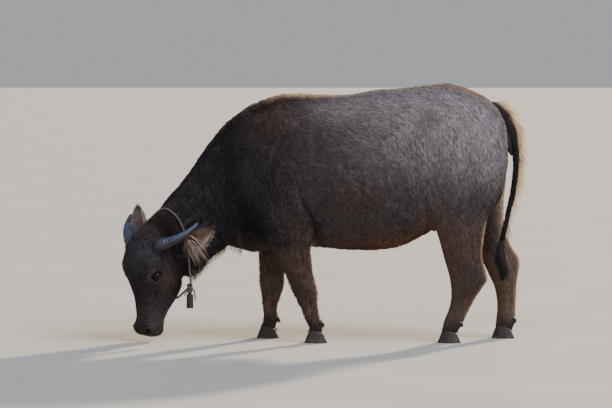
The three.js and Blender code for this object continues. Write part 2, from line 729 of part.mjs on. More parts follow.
// Tail: two lengths, each with its long hair, and the switch.
const torsoGrown = grown(largest(torsoPart));
const hindGrown = ["hindleg_left", "hindleg_right"].map((name) => grown(largest(legParts[name])));
const tailCurve = new THREE.CatmullRomCurve3(TAIL.map(([x, y, z]) => new THREE.Vector3(x, y, z)));

// Locks along the outer edge of the tail, longest in the middle, bending towards its tip.
function tailFringe() {
  const draw = seeded(23);
  const { from, to, count } = TAIL_FRINGE;
  const locks = [];
  for (let i = 0; i < count; i++) {
    const share = (i + 0.5) / count;
    const at = THREE.MathUtils.lerp(from, to, share);
    const along = tailCurve.getTangent(at);
    const out = new THREE.Vector3(-along.z, (draw() - 0.5) * 1.3, along.x).normalize();
    const bend = along.clone().addScaledVector(out, 0.45).normalize();
    const fullness = 0.5 + 0.5 * Math.sin(Math.PI * share ** 0.8);
    const length = TAIL_FRINGE.length * fullness * (0.8 + 0.4 * draw());
    const root = tailCurve.getPoint(at).addScaledVector(out, 4);
    locks.push(lock(root, out, bend, { ...TAIL_FRINGE, length }));
  }
  return locks;
}

const tailWhole = less(joined([solid(tube(TAIL, 10, 28)), ...tailFringe()]), torsoGrown, ...hindGrown);
const splitPoint = tailCurve.getPoint(TAIL_SPLIT);
const down = tailCurve.getTangent(TAIL_SPLIT);
const tailLower = largest(tailWhole.intersect(beyond(splitPoint, down, -GAP / 2)));
addMesh("tail_upper", less(tailWhole, beyond(splitPoint, down, GAP / 2)), HIDE);
addMesh("tail_lower", tailLower, HIDE);

// The switch: a core that reaches half way out, under tapered locks that hang along it.
function switchSolid() {
  const draw = seeded(37);
  const curve = new THREE.CatmullRomCurve3(SWITCH.map(([x, y, z]) => new THREE.Vector3(x, y, z)));
  const core = SWITCH.map(([x, y, z, radius]) => [x, y, z, Math.max(radius * SWITCH_LOCKS.core, 1)]);
  const locks = [];
  for (let i = 0; i < SWITCH_LOCKS.count; i++) {
    const share = 0.04 + 0.74 * (i / SWITCH_LOCKS.count);
    const along = curve.getTangent(share);
    const turn = i * 2.4;
    const out = new THREE.Vector3(Math.cos(turn), Math.sin(turn), 0);
    const row = between(SWITCH, share);
    const root = curve.getPoint(share).addScaledVector(out, row[3] * 0.15);
    const leave = along.clone().addScaledVector(out, row[3] / 42).normalize();
    const bend = along.clone().addScaledVector(out, (draw() - 0.55) * 0.3).normalize();
    const length = SWITCH_LOCKS.length * (0.7 + 0.5 * draw()) * (1 - 0.35 * share);
    locks.push(lock(root, leave, bend, { ...SWITCH_LOCKS, length }));
  }
  return joined([solid(tube(core, 8, 14)), ...locks]);
}
addMesh("tail_switch", less(switchSolid(), grown(tailLower), ...hindGrown), HAIR);

// Collar: a rope that lies over the nape and hangs below the throat, in one plane.
const collarTop = new THREE.Vector3(...COLLAR.nape);
const collarLow = new THREE.Vector3(...COLLAR.throat);
const collarDown = collarLow.clone().sub(collarTop);
const collarDrop = collarDown.length();
collarDown.normalize();
const collarTurn = radians(COLLAR.turn);
const collarSide = new THREE.Vector3(Math.sin(collarTurn), -Math.cos(collarTurn), 0);
collarSide.addScaledVector(collarDown, -collarSide.dot(collarDown)).normalize();
const collarNormal = new THREE.Vector3().crossVectors(collarSide, collarDown);
const collarFrame = new THREE.Matrix4().makeBasis(collarSide, collarDown, collarNormal);
collarFrame.setPosition(collarTop);

// Where a geometry's edges pass through the plane z = 0.
function crossings(geometry) {
  const { position } = geometry.attributes;
  const points = [];
  const corner = (i) => new THREE.Vector3().fromBufferAttribute(position, geometry.index.getX(i));
  for (let i = 0; i < geometry.index.count; i += 3) {
    for (let k = 0; k < 3; k++) {
      const [p, q] = [corner(i + k), corner(i + ((k + 1) % 3))];
      if (p.z < 0 !== q.z < 0) points.push(p.lerp(q, p.z / (p.z - q.z)));
    }
  }
  return points;
}

// The points of a flat set that a taut string round it would touch, in order.
function taut(points) {
  const sorted = [...points].sort((p, q) => p.x - q.x || p.y - q.y);
  const turn = (o, p, q) => (p.x - o.x) * (q.y - o.y) - (p.y - o.y) * (q.x - o.x);
  const half = (list) => {
    const chain = [];
    for (const p of list) {
      while (chain.length > 1 && turn(chain.at(-2), chain.at(-1), p) <= 0) chain.pop();
      chain.push(p);
    }
    return chain.slice(0, -1);
  };
  return [...half(sorted), ...half(sorted.reverse())];
}

// The taut outline of the neck in the collar's plane, clear of the skin by the rope's radius.
function collarLoop() {
  const flat = geometryOf(flesh).applyMatrix4(collarFrame.clone().invert());
  const near = (p) => Math.abs(p.x) < 170 && p.y > -60 && p.y < collarDrop + 20;
  const outline = taut([...crossings(flat).filter(near), new THREE.Vector3(0, collarDrop, 0)]);
  const spread = outline.filter((p, i) => i === 0 || p.distanceTo(outline[i - 1]) > 12);
  const smooth = new THREE.CatmullRomCurve3(spread, true, "centripetal");
  const clear = COLLAR.radius * 1.3;
  const loop = [];
  for (let i = 0; i < COLLAR.steps; i++) {
    const along = smooth.getTangentAt(i / COLLAR.steps);
    const p = smooth.getPointAt(i / COLLAR.steps);
    p.add(new THREE.Vector3(along.y, -along.x, 0).setLength(clear));
    loop.push(p.setZ(0).applyMatrix4(collarFrame));
  }
  return new THREE.CatmullRomCurve3(loop, true);
}

const loopCurve = collarLoop();
const tubeShape = new THREE.TubeGeometry(loopCurve, COLLAR.steps, COLLAR.radius, 6, true);
const rope = less(solid(tubeShape), headGrown, neckGrown, ...hornsGrown);
const ropeGrown = grown(rope);
addMesh("collar_rope", rope, ROPE_STUFF);

for (const [hand, side] of [["left", LEFT], ["right", RIGHT]]) {
  const { body, place } = earSolid(side, side === LEFT ? EAR.near : EAR.far);
  const ear = joined([body, ...earLocks(place, side)]);
  addMesh(`ear_${hand}`, less(ear, headGrown, neckGrown, ...hornsGrown, ropeGrown), HIDE);
}

const knotShape = new THREE.SphereGeometry(0.5, 10, 8).scale(KNOT.long, KNOT.deep, KNOT.tall);
knotShape.translate(collarLow.x, collarLow.y, collarLow.z - KNOT.below);
addMesh("collar_knot", less(solid(knotShape), ropeGrown, headGrown, neckGrown), ROPE_STUFF);

// A small wooden bell, open below.
function bellSolid() {
  const top = collarLow.z - KNOT.below - KNOT.tall / 2 - GAP;
  const outline = [[0, 0], [6, 0], [8, -BELL.cap], [BELL.wide / 2 - 2, -BELL.cap - 3]];
  outline.push([BELL.wide / 2, -BELL.cap - 10], [(BELL.wide / 2) * BELL.mouth, -BELL.tall]);
  outline.push([(BELL.wide / 2) * BELL.mouth - BELL.wall, -BELL.tall]);
  outline.push([BELL.wide / 2 - BELL.wall, -BELL.cap - 14], [0, -BELL.cap - 14]);
  const turned = new THREE.LatheGeometry(outline.map(([r, z]) => new THREE.Vector2(r, z)), 20);
  turned.rotateX(Math.PI / 2).scale(1, BELL.deep / BELL.wide, 1);
  turned.rotateZ(radians(-20)).translate(collarLow.x, collarLow.y, top);
  return solid(turned);
}
addMesh("bell", less(bellSolid(), headGrown, neckGrown), BELL_STUFF);

// The middle of the whole stands over the origin, its soles on the floor.
const whole = new THREE.Box3().setFromObject(group);
const middle = whole.getCenter(new THREE.Vector3());
for (const mesh of group.children) mesh.geometry.translate(-middle.x, -middle.y, -whole.min.z);

export default group;
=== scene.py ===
import json
import math
from functools import partial

import bmesh
import bpy
import numpy as np
import openvdb as vdb
from mathutils import Matrix, Vector, kdtree

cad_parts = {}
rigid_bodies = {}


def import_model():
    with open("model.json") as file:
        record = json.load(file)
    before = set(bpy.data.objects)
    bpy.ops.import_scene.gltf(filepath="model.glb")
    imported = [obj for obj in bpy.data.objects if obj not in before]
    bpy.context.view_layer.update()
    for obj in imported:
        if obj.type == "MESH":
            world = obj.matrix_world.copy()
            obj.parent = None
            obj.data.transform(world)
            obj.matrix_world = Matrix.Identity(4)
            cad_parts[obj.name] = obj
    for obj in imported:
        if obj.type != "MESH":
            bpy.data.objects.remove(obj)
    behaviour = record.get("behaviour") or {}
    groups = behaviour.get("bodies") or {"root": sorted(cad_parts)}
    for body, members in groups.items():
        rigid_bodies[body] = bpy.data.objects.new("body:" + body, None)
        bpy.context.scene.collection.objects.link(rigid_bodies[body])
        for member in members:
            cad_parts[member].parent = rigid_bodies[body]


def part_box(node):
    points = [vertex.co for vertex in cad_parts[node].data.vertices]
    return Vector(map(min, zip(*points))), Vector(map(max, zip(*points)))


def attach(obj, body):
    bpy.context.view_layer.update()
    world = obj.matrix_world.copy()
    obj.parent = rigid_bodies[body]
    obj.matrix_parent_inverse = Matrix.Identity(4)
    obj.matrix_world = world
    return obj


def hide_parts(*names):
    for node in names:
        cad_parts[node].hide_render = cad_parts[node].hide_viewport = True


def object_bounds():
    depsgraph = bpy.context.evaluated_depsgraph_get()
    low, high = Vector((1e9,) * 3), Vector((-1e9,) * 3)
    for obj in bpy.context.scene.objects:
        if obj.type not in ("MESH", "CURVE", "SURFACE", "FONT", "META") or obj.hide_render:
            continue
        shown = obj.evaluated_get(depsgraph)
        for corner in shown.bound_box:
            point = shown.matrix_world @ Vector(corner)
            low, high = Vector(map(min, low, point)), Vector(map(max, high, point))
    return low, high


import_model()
cad_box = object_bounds()

MM = 0.001
LEFT = 1
RIGHT = -1
SIDES = (("left", LEFT), ("right", RIGHT))

# Trunk and neck, from the rump to the back of the skull, in millimetres. Each row holds
# top x, top z, bottom x, bottom z, half width, height share of the widest line,
# squareness above it and below it, y of the middle, and the turn to the left in degrees.
TRUNK = [
    [797, 815, 797, 815, 0, 0.5, 2, 2, 0, 0],
    [789, 908, 789, 712, 66, 0.52, 2, 2, 0, 0],
    [765, 985, 768, 620, 108, 0.56, 2, 2, 0, 0],
    [712, 1040, 712, 545, 146, 0.6, 2, 2, 0, 0],
    [632, 1080, 640, 500, 172, 0.62, 2, 2, 0, 0],
    [540, 1108, 560, 478, 194, 0.64, 1.9, 2.1, 0, 0],
    [450, 1101, 475, 468, 212, 0.6, 1.9, 2.2, 0, 0],
    [340, 1089, 350, 408, 240, 0.52, 2, 2.3, 0, 0],
    [235, 1083, 245, 386, 256, 0.46, 2, 2.3, 0, 0],
    [116, 1063, 120, 386, 254, 0.44, 2, 2.3, 0, 0],
    [0, 1062, 0, 396, 236, 0.44, 1.9, 2.2, 0, 0],
    [-100, 1070, -100, 398, 212, 0.45, 1.8, 2.2, 0, 0],
    [-190, 1064, -200, 384, 190, 0.46, 1.8, 2.1, 0, 0],
    [-275, 1040, -300, 376, 164, 0.47, 1.8, 2, 0, 0],
    [-345, 1004, -366, 392, 136, 0.48, 1.8, 2, -2, 0],
    [-415, 950, -412, 398, 116, 0.48, 1.8, 2, -8, 4],
    [-490, 868, -452, 378, 104, 0.48, 1.8, 2, -18, 10],
    [-560, 765, -492, 350, 99, 0.48, 2, 2.1, -34, 20],
    [-628, 674, -530, 306, 98, 0.5, 2.3, 2.2, -54, 30],
    [-684, 606, -572, 280, 97, 0.52, 2.6, 2.2, -78, 40],
    [-720, 556, -620, 300, 80, 0.5, 2.4, 2, -98, 46],
    [-716, 430, -716, 430, 0, 0.5, 2, 2, -110, 46],
]
# Swellings and hollows of the trunk: x, z, reach along x, reach along z, rise.
TRUNK_FORMS = [
    [480, 985, 55, 45, 26],
    [385, 930, 75, 70, -20],
    [770, 900, 45, 45, 10],
    [-160, 930, 70, 110, 10],
    [-55, 900, 45, 130, -12],
    [-430, 700, 60, 160, -8],
    [60, 640, 120, 120, 8],
]
# Legs: z, front x, back x, y of the middle, half thickness, pinch of the back edge.
FORELEG_NEAR = [
    [905, -190, -190, 100, 0, 0],
    [870, -235, -140, 104, 30, 0],
    [800, -272, -92, 108, 62, 0],
    [700, -314, -56, 114, 80, 0],
    [600, -340, -26, 118, 86, 0],
    [520, -322, -12, 122, 78, 0.1],
    [460, -272, -26, 124, 64, 0.2],
    [408, -236, -46, 123, 54, 0.2],
    [344, -198, -42, 120, 48, 0.2],
    [290, -168, -34, 118, 44, 0.1],
    [250, -152, -23, 117, 46, 0],
    [218, -138, -17, 116, 44, 0],
    [185, -122, -17, 116, 38, 0.1],
    [150, -104, -14, 116, 34, 0.2],
    [107, -87, -6, 116, 36, 0.1],
    [77, -76, 9, 116, 42, 0],
    [50, -74, 6, 116, 39, 0],
    [24, -80, 0, 116, 34, 0],
    [14, -40, -40, 116, 0, 0],
]
FORELEG_FAR = [
    [905, -190, -190, 100, 0, 0],
    [870, -235, -140, 104, 30, 0],
    [800, -272, -95, 108, 62, 0],
    [700, -316, -62, 114, 80, 0],
    [600, -346, -42, 118, 86, 0],
    [520, -340, -52, 122, 76, 0.1],
    [460, -312, -92, 124, 62, 0.2],
    [408, -290, -130, 123, 54, 0.2],
    [344, -284, -152, 120, 48, 0.2],
    [290, -282, -158, 118, 44, 0.1],
    [250, -282, -160, 117, 46, 0],
    [218, -279, -164, 116, 44, 0],
    [180, -274, -176, 116, 38, 0.1],
    [140, -269, -189, 116, 34, 0.2],
    [108, -266, -190, 116, 36, 0.1],
    [78, -272, -182, 116, 42, 0],
    [50, -282, -192, 116, 39, 0],
    [24, -288, -200, 116, 34, 0],
    [14, -240, -240, 116, 0, 0],
]
HINDLEG_NEAR = [
    [1010, 560, 560, 90, 0, 0],
    [975, 500, 640, 92, 30, 0],
    [920, 468, 716, 98, 56, 0],
    [850, 448, 766, 106, 72, 0],
    [760, 436, 782, 112, 80, 0],
    [680, 440, 774, 114, 84, 0],
    [602, 452, 738, 116, 79, 0.1],
    [540, 464, 706, 116, 72, 0.2],
    [495, 474, 695, 116, 66, 0.25],
    [430, 495, 685, 116, 56, 0.35],
    [387, 508, 681, 115, 50, 0.4],
    [344, 520, 687, 114, 46, 0.35],
    [301, 532, 698, 113, 44, 0.25],
    [270, 539, 703, 112, 43, 0.15],
    [236, 544, 684, 111, 40, 0.1],
    [193, 546, 655, 110, 36, 0.1],
    [150, 537, 631, 110, 33, 0.2],
    [107, 520, 610, 110, 35, 0.1],
    [74, 505, 598, 110, 41, 0],
    [45, 494, 582, 110, 38, 0],
    [24, 488, 572, 110, 34, 0],
    [14, 530, 530, 110, 0, 0],
]
HINDLEG_FAR = [
    [1010, 560, 560, 90, 0, 0],
    [975, 500, 640, 92, 30, 0],
    [920, 468, 716, 98, 56, 0],
    [850, 450, 768, 106, 72, 0],
    [760, 448, 790, 112, 80, 0],
    [680, 468, 796, 114, 84, 0],
    [602, 502, 790, 116, 79, 0.1],
    [540, 538, 788, 116, 72, 0.2],
    [495, 570, 792, 116, 66, 0.25],
    [431, 622, 808, 116, 56, 0.35],
    [387, 655, 829, 115, 50, 0.4],
    [350, 680, 852, 114, 46, 0.3],
    [318, 698, 856, 113, 44, 0.2],
    [270, 722, 850, 112, 43, 0.15],
    [230, 742, 844, 111, 39, 0.1],
    [190, 752, 842, 110, 35, 0.1],
    [150, 756, 841, 110, 33, 0.2],
    [108, 756, 840, 110, 35, 0.1],
    [75, 748, 844, 110, 41, 0],
    [45, 736, 832, 110, 38, 0],
    [24, 728, 822, 110, 34, 0],
    [14, 780, 780, 110, 0, 0],
]
LEG_SQUARENESS = 2.2
LEGS = {
    "foreleg_left": (FORELEG_NEAR, LEFT),
    "foreleg_right": (FORELEG_FAR, RIGHT),
    "hindleg_left": (HINDLEG_NEAR, LEFT),
    "hindleg_right": (HINDLEG_FAR, RIGHT),
}
# Head, in its own frame: l to the animal's left, n out of the forehead, a up towards the poll.
# Each row holds a, n of the front, n of the back, half width, squareness in front and behind.
HEAD = [
    [274, -62, -62, 0, 2, 2],
    [262, -14, -112, 44, 2.2, 2],
    [234, 22, -128, 66, 2.3, 2],
    [196, 54, -134, 78, 2.4, 2],
    [140, 88, -146, 88, 2.6, 2.1],
    [75, 98, -162, 92, 2.6, 2.3],
    [18, 90, -180, 89, 2.5, 2.6],
    [-30, 70, -188, 80, 2.4, 2.7],
    [-78, 50, -174, 69, 2.4, 2.7],
    [-125, 36, -140, 59, 2.4, 2.4],
    [-168, 26, -108, 54, 2.5, 2.4],
    [-205, 22, -92, 57, 2.8, 2.4],
    [-234, 12, -84, 55, 2.8, 2.4],
    [-250, -12, -70, 38, 2.4, 2.2],
    [-255, -40, -40, 0, 2, 2],
]
# Swellings and hollows of the head: l, n, a, reach, rise.
HEAD_FORMS = [
    [86, 40, 52, 34, 14],
    [84, 12, -12, 26, 6],
    [76, -100, -20, 46, 12],
    [62, 6, -75, 34, -8],
    [46, 8, -212, 24, 9],
    [44, -78, -222, 20, 5],
    [76, 20, 150, 34, 8],
    [90, -6, 90, 30, -8],
    [70, -66, -150, 26, 4],
]
HEAD_AT = Vector((-754, -110, 275))
HEAD_TURN = 52
HEAD_ROLL = 4
EYE = {"l": 77, "n": 26, "a": 24, "radius": 20, "lid": 4.5, "slant": 20}
NOSTRIL = {"l": 33, "n": 14, "a": -224, "wide": 9, "long": 15, "deep": 13, "slant": 35}
MOUTH = {"n": -69, "lean": 0.158, "corner": -166}
HORN = {"path": [[52, 32, 142], [168, -18, 176], [189, -96, 252]], "root": 27.5, "tip": 6.5, "flat": 0.82}
# Each ear reaches from the root to its own way, and the far one is a little shorter.
EAR = {
    "root": (86, -70, 108), "near": (160, -84, 140), "far": (44, -4, 166),
    "long": 212, "far_long": 195, "wide": 98, "thick": 5, "cup": 1.25,
}
# Tail: x, y, z, radius. Its switch follows in the same way.
TAIL = [
    [700, -4, 1012, 20], [738, -5, 1004, 22], [778, -7, 973, 22], [806, -9, 925, 20],
    [824, -11, 860, 17], [831, -13, 783, 14], [827, -15, 710, 12], [816, -17, 636, 10.5],
    [800, -19, 566, 9.5], [784, -20, 495, 9], [772, -21, 440, 9],
]
SWITCH = [
    [772, -21, 439, 10], [766, -22, 400, 17], [770, -23, 350, 21], [776, -24, 310, 19],
    [770, -25, 278, 14], [758, -26, 262, 8], [748, -27, 254, 1],
]
CLAW = {"long": 98, "wide": 41, "tall": 62, "apart": 2, "lean": 14}
CORONET = {"front": 56, "back": 34}
DEWCLAW = {"long": 30, "out": 20, "z": 78}
FEET = {
    "fore_left": (LEFT, -30, 116), "fore_right": (RIGHT, -238, 116),
    "hind_left": (LEFT, 540, 110), "hind_right": (RIGHT, 785, 110),
}
COLLAR = {"nape": (-748, -112, 517), "throat": (-570, -84, 243), "turn": 64.5, "radius": 4.5}
KNOT = {"below": 10, "tall": 34}
BELL = {"wide": 28, "deep": 24, "tall": 70, "mouth": 1.12, "wall": 3, "cap": 9, "turn": -20}

# The skin lies under the coat by this much, and its net has squares of this size, in metres.
COAT_DEPTH = 0.003
VOXEL = 0.0078
# How many squares deep the distance to the flesh is known, and how far the grid goes beyond it.
BAND = 7
MARGIN = 0.06
# How softly a form runs into the rest, in metres.
HEAD_SOFT = 0.022
LEG_SOFT = 0.03
LID_SOFT = 0.016
# The forelegs stand within a reach of one x, and the hind legs behind another.
FORE_X = -180
FORE_REACH = 240
HIND_X = 425


# Shapes as functions of a share along and an angle round, on numpy arrays, in millimetres

def between(table, share):
    """Rows of a table at shares of its length, on a smooth curve through them."""
    rows = np.array(table, float)
    last = len(rows) - 1
    at = np.clip(share, 0, 1) * last
    i = np.minimum(at.astype(int), last - 1)
    f = (at - i)[..., None]
    p = rows[np.maximum(i - 1, 0)]
    q = rows[i]
    r = rows[i + 1]
    s = rows[np.minimum(i + 2, last)]
    return q + f * (r - p + f * (2 * p - 5 * q + 4 * r - s + f * (3 * (q - r) + s - p))) / 2


def bulge(value, power):
    return np.sign(value) * np.abs(value) ** (2 / power)


def trunk_point(share, angle):
    top_x, top_z, bottom_x, bottom_z, half, wide, roof, keel, mid_y, turn = between(TRUNK, share).T
    turn = np.radians(turn)
    up = np.cos(angle)
    power = np.where(up > 0, roof, keel)
    high = wide + bulge(up, power) * np.where(up > 0, 1 - wide, wide)
    side = half * bulge(np.sin(angle), power)
    lean = top_x - bottom_x
    tall = top_z - bottom_z
    y = mid_y + lean * (high - 0.5) * np.tan(turn)
    middle = np.stack([bottom_x + lean * wide, y, bottom_z + tall * wide], -1)
    x = bottom_x + lean * high + side * np.sin(turn)
    point = np.stack([x, y - side * np.cos(turn), bottom_z + tall * high], -1)
    out = point - middle
    far = np.linalg.norm(out, axis=-1, keepdims=True)
    rise = 0
    for at_x, at_z, reach_x, reach_z, height in TRUNK_FORMS:
        rise = rise + height * np.exp(
            -((point[..., 0] - at_x) / reach_x) ** 2 - ((point[..., 2] - at_z) / reach_z) ** 2)
    return np.where(far < 1, point, point + out / np.maximum(far, 1) * rise[..., None])


def leg_point(table, side, share, angle):
    z, front, back, mid_y, half, pinch = between(table, share).T
    along = bulge(np.cos(angle), LEG_SQUARENESS)
    across = bulge(np.sin(angle), LEG_SQUARENESS)
    narrow = 1 - pinch * np.maximum(along, 0)
    x = (front + back) / 2 + (back - front) / 2 * along
    return np.stack([x, -side * (mid_y + half * across * narrow), z], -1)


def head_axes():
    turn = math.radians(HEAD_TURN)
    left = Vector((math.sin(turn), -math.cos(turn), 0))
    front = Vector((-math.cos(turn), -math.sin(turn), 0))
    roll = Matrix.Rotation(-math.radians(HEAD_ROLL), 3, front)
    return np.array([roll @ left, roll @ front, roll @ Vector((0, 0, 1))])


HEAD_AXES = head_axes()


def on_head(l, n, a):
    return np.stack(np.broadcast_arrays(l, n, a), -1) @ HEAD_AXES + np.array(HEAD_AT)


def in_head(points):
    return (points - np.array(HEAD_AT)) @ HEAD_AXES.T


def head_point(share, angle):
    a, front, back, half, square_front, square_back = between(HEAD, share).T
    ahead = np.cos(angle)
    power = np.where(ahead > 0, square_front, square_back)
    middle = (front + back) / 2
    l = half * bulge(np.sin(angle), power)
    n = middle + (front - back) / 2 * bulge(ahead, power)
    far = np.hypot(l, n - middle)
    rise = 0
    for at_l, at_n, at_a, reach, height in HEAD_FORMS:
        gap = (np.abs(l) - at_l) ** 2 + (n - at_n) ** 2 + (a - at_a) ** 2
        rise = rise + height * np.exp(-gap / reach ** 2)
    grow = np.where(far < 1, 0, rise / np.maximum(far, 1))
    return on_head(l + l * grow, n + (n - middle) * grow, a)


def ring_grid(around, rows):
    """Share along and angle round of every point between the poles of a closed skin."""
    grid = np.meshgrid(
        np.arange(1, rows) / rows, np.arange(around) / around * 2 * math.pi, indexing="ij")
    return grid[0].ravel(), grid[1].ravel()


def lofted(around, rows, place):
    """Points, triangles and quads of a closed skin from pole to pole."""
    rings = place(*ring_grid(around, rows))
    ends = place(np.array([0.0, 1.0]), np.zeros(2))
    points = np.concatenate([ends[:1], rings, ends[1:]])
    i = np.arange(around)
    j = (i + 1) % around
    first = np.stack([np.zeros_like(i), 1 + j, 1 + i], -1)
    base = 1 + (rows - 2) * around
    final = np.stack([np.full_like(i, len(points) - 1), base + i, base + j], -1)
    starts = 1 + np.arange(rows - 2)[:, None] * around
    quads = np.stack([starts + i, starts + j, starts + around + j, starts + around + i], -1)
    return points, np.concatenate([first, final]), quads.reshape(-1, 4)


def swept(path, radii, around, rows, flat=1.0, shape=None):
    """A closed tube along a table of points, with its radius between them."""
    path = np.array(path, float)
    radii = np.array(radii, float)

    def place(share, angle):
        at = between(np.c_[path, radii], share)
        ahead = between(path, np.minimum(share + 0.004, 1))
        behind = between(path, np.maximum(share - 0.004, 0))
        along = ahead - behind
        along /= np.linalg.norm(along, axis=-1, keepdims=True)
        level = np.cross(along, [0.0, 1.0, 0.0])
        level /= np.linalg.norm(level, axis=-1, keepdims=True)
        other = np.cross(level, along)
        grow = at[:, 3] if shape is None else at[:, 3] * shape(share, angle)
        ended = np.where((share <= 0) | (share >= 1), 0, 1)
        r = (grow * ended)[:, None]
        aside = level * r * np.cos(angle)[:, None]
        return at[:, :3] + aside + other * r * flat * np.sin(angle)[:, None]

    return lofted(around, rows, place)


def smoothstep(value, low, high):
    x = np.clip((value - low) / (high - low), 0, 1)
    return x * x * (3 - 2 * x)


# How far the part was moved to stand over the origin, in metres.
SHIFT = np.mean(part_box("eye_left"), axis=0) - on_head(EYE["l"], EYE["n"], EYE["a"]) * MM


def placed(points):
    return np.asarray(points) * MM + SHIFT


def measured(points):
    return (points - SHIFT) / MM


# Meshes

def mesh_object(name, points, *faces):
    """An object of its own with these points, in metres, and arrays of faces."""
    mesh = bpy.data.meshes.new(name)
    corners = np.concatenate([f.ravel() for f in faces]).astype(np.int32)
    sizes = np.concatenate([np.full(len(f), f.shape[1]) for f in faces])
    starts = np.concatenate([[0], np.cumsum(sizes)[:-1]]).astype(np.int32)
    mesh.vertices.add(len(points))
    mesh.vertices.foreach_set("co", np.ascontiguousarray(points, np.float32).ravel())
    mesh.loops.add(len(corners))
    mesh.loops.foreach_set("vertex_index", corners)
    mesh.polygons.add(len(sizes))
    mesh.polygons.foreach_set("loop_start", starts)
    mesh.update(calc_edges=True)
    mesh.polygons.foreach_set("use_smooth", np.full(len(sizes), True))
    thing = bpy.data.objects.new(name, mesh)
    bpy.context.scene.collection.objects.link(thing)
    return thing


def shaped(name, shape):
    """An object from the points, in millimetres, and the faces of a closed skin."""
    return mesh_object(name, placed(shape[0]), *shape[1:])


def outward(thing):
    """Turns every face of a small closed mesh outwards."""
    net = bmesh.new()
    net.from_mesh(thing.data)
    bmesh.ops.remove_doubles(net, verts=net.verts, dist=1e-6)
    bmesh.ops.recalc_face_normals(net, faces=net.faces)
    net.to_mesh(thing.data)
    net.free()
    return thing


def finished(thing, material, slot, *nodes):
    """Gives a piece its material, its body and the nodes that it stands for."""
    thing.data.materials.clear()
    thing.data.materials.append(material)
    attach(thing, "root")
    if nodes:
        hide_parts(*nodes)
    return thing


def set_attribute(mesh, name, kind, values):
    layer = mesh.attributes.new(name, kind, "POINT")
    key = {"FLOAT_COLOR": "color", "FLOAT_VECTOR": "vector", "FLOAT": "value"}[kind]
    layer.data.foreach_set(key, np.ascontiguousarray(values, np.float32).ravel())


def vertex_values(mesh, key):
    values = np.empty(len(mesh.vertices) * 3, np.float32)
    mesh.vertices.foreach_get(key, values)
    return values.reshape(-1, 3).astype(float)


def vertex_points(mesh):
    return vertex_values(mesh, "co")


def vertex_normals(mesh):
    return vertex_values(mesh, "normal")


def triangles(mesh):
    mesh.calc_loop_triangles()
    corners = np.empty(len(mesh.loop_triangles) * 3, np.int32)
    mesh.loop_triangles.foreach_get("vertices", corners)
    return corners.reshape(-1, 3)


def face_out(thing):
    """Turns a whole closed mesh over if its faces look inwards."""
    p = vertex_points(thing.data)[triangles(thing.data)]
    if np.sum(np.cross(p[:, 0], p[:, 1]) * p[:, 2]) < 0:
        thing.data.flip_normals()
    return thing


def paint(thing, colour, upright, bare):
    """Gives hide its colour, how far its hair points down and how bare it is, at each point."""
    count = len(thing.data.vertices)
    set_attribute(thing.data, "tone", "FLOAT_COLOR", np.c_[np.clip(colour, 0, 1), np.ones(count)])
    set_attribute(thing.data, "upright", "FLOAT", np.broadcast_to(upright, count))
    set_attribute(thing.data, "bare", "FLOAT", np.broadcast_to(bare, count))


# Shader maths

def operator(operation, turned=False):
    def apply(self, other):
        first, second = (other, self) if turned else (self, other)
        return self.tree.node("ShaderNodeMath", {"operation": operation}, {0: first, 1: second}).out()

    return apply


class Value:
    """A socket that can be used in expressions."""

    def __init__(self, tree, socket):
        self.tree = tree
        self.socket = socket

    __add__, __radd__ = operator("ADD"), operator("ADD", True)
    __sub__, __rsub__ = operator("SUBTRACT"), operator("SUBTRACT", True)
    __mul__, __rmul__ = operator("MULTIPLY"), operator("MULTIPLY", True)


class Node:
    def __init__(self, tree, node):
        self.tree = tree
        self.made = node

    def out(self, key=0):
        return Value(self.tree, self.made.outputs[key])


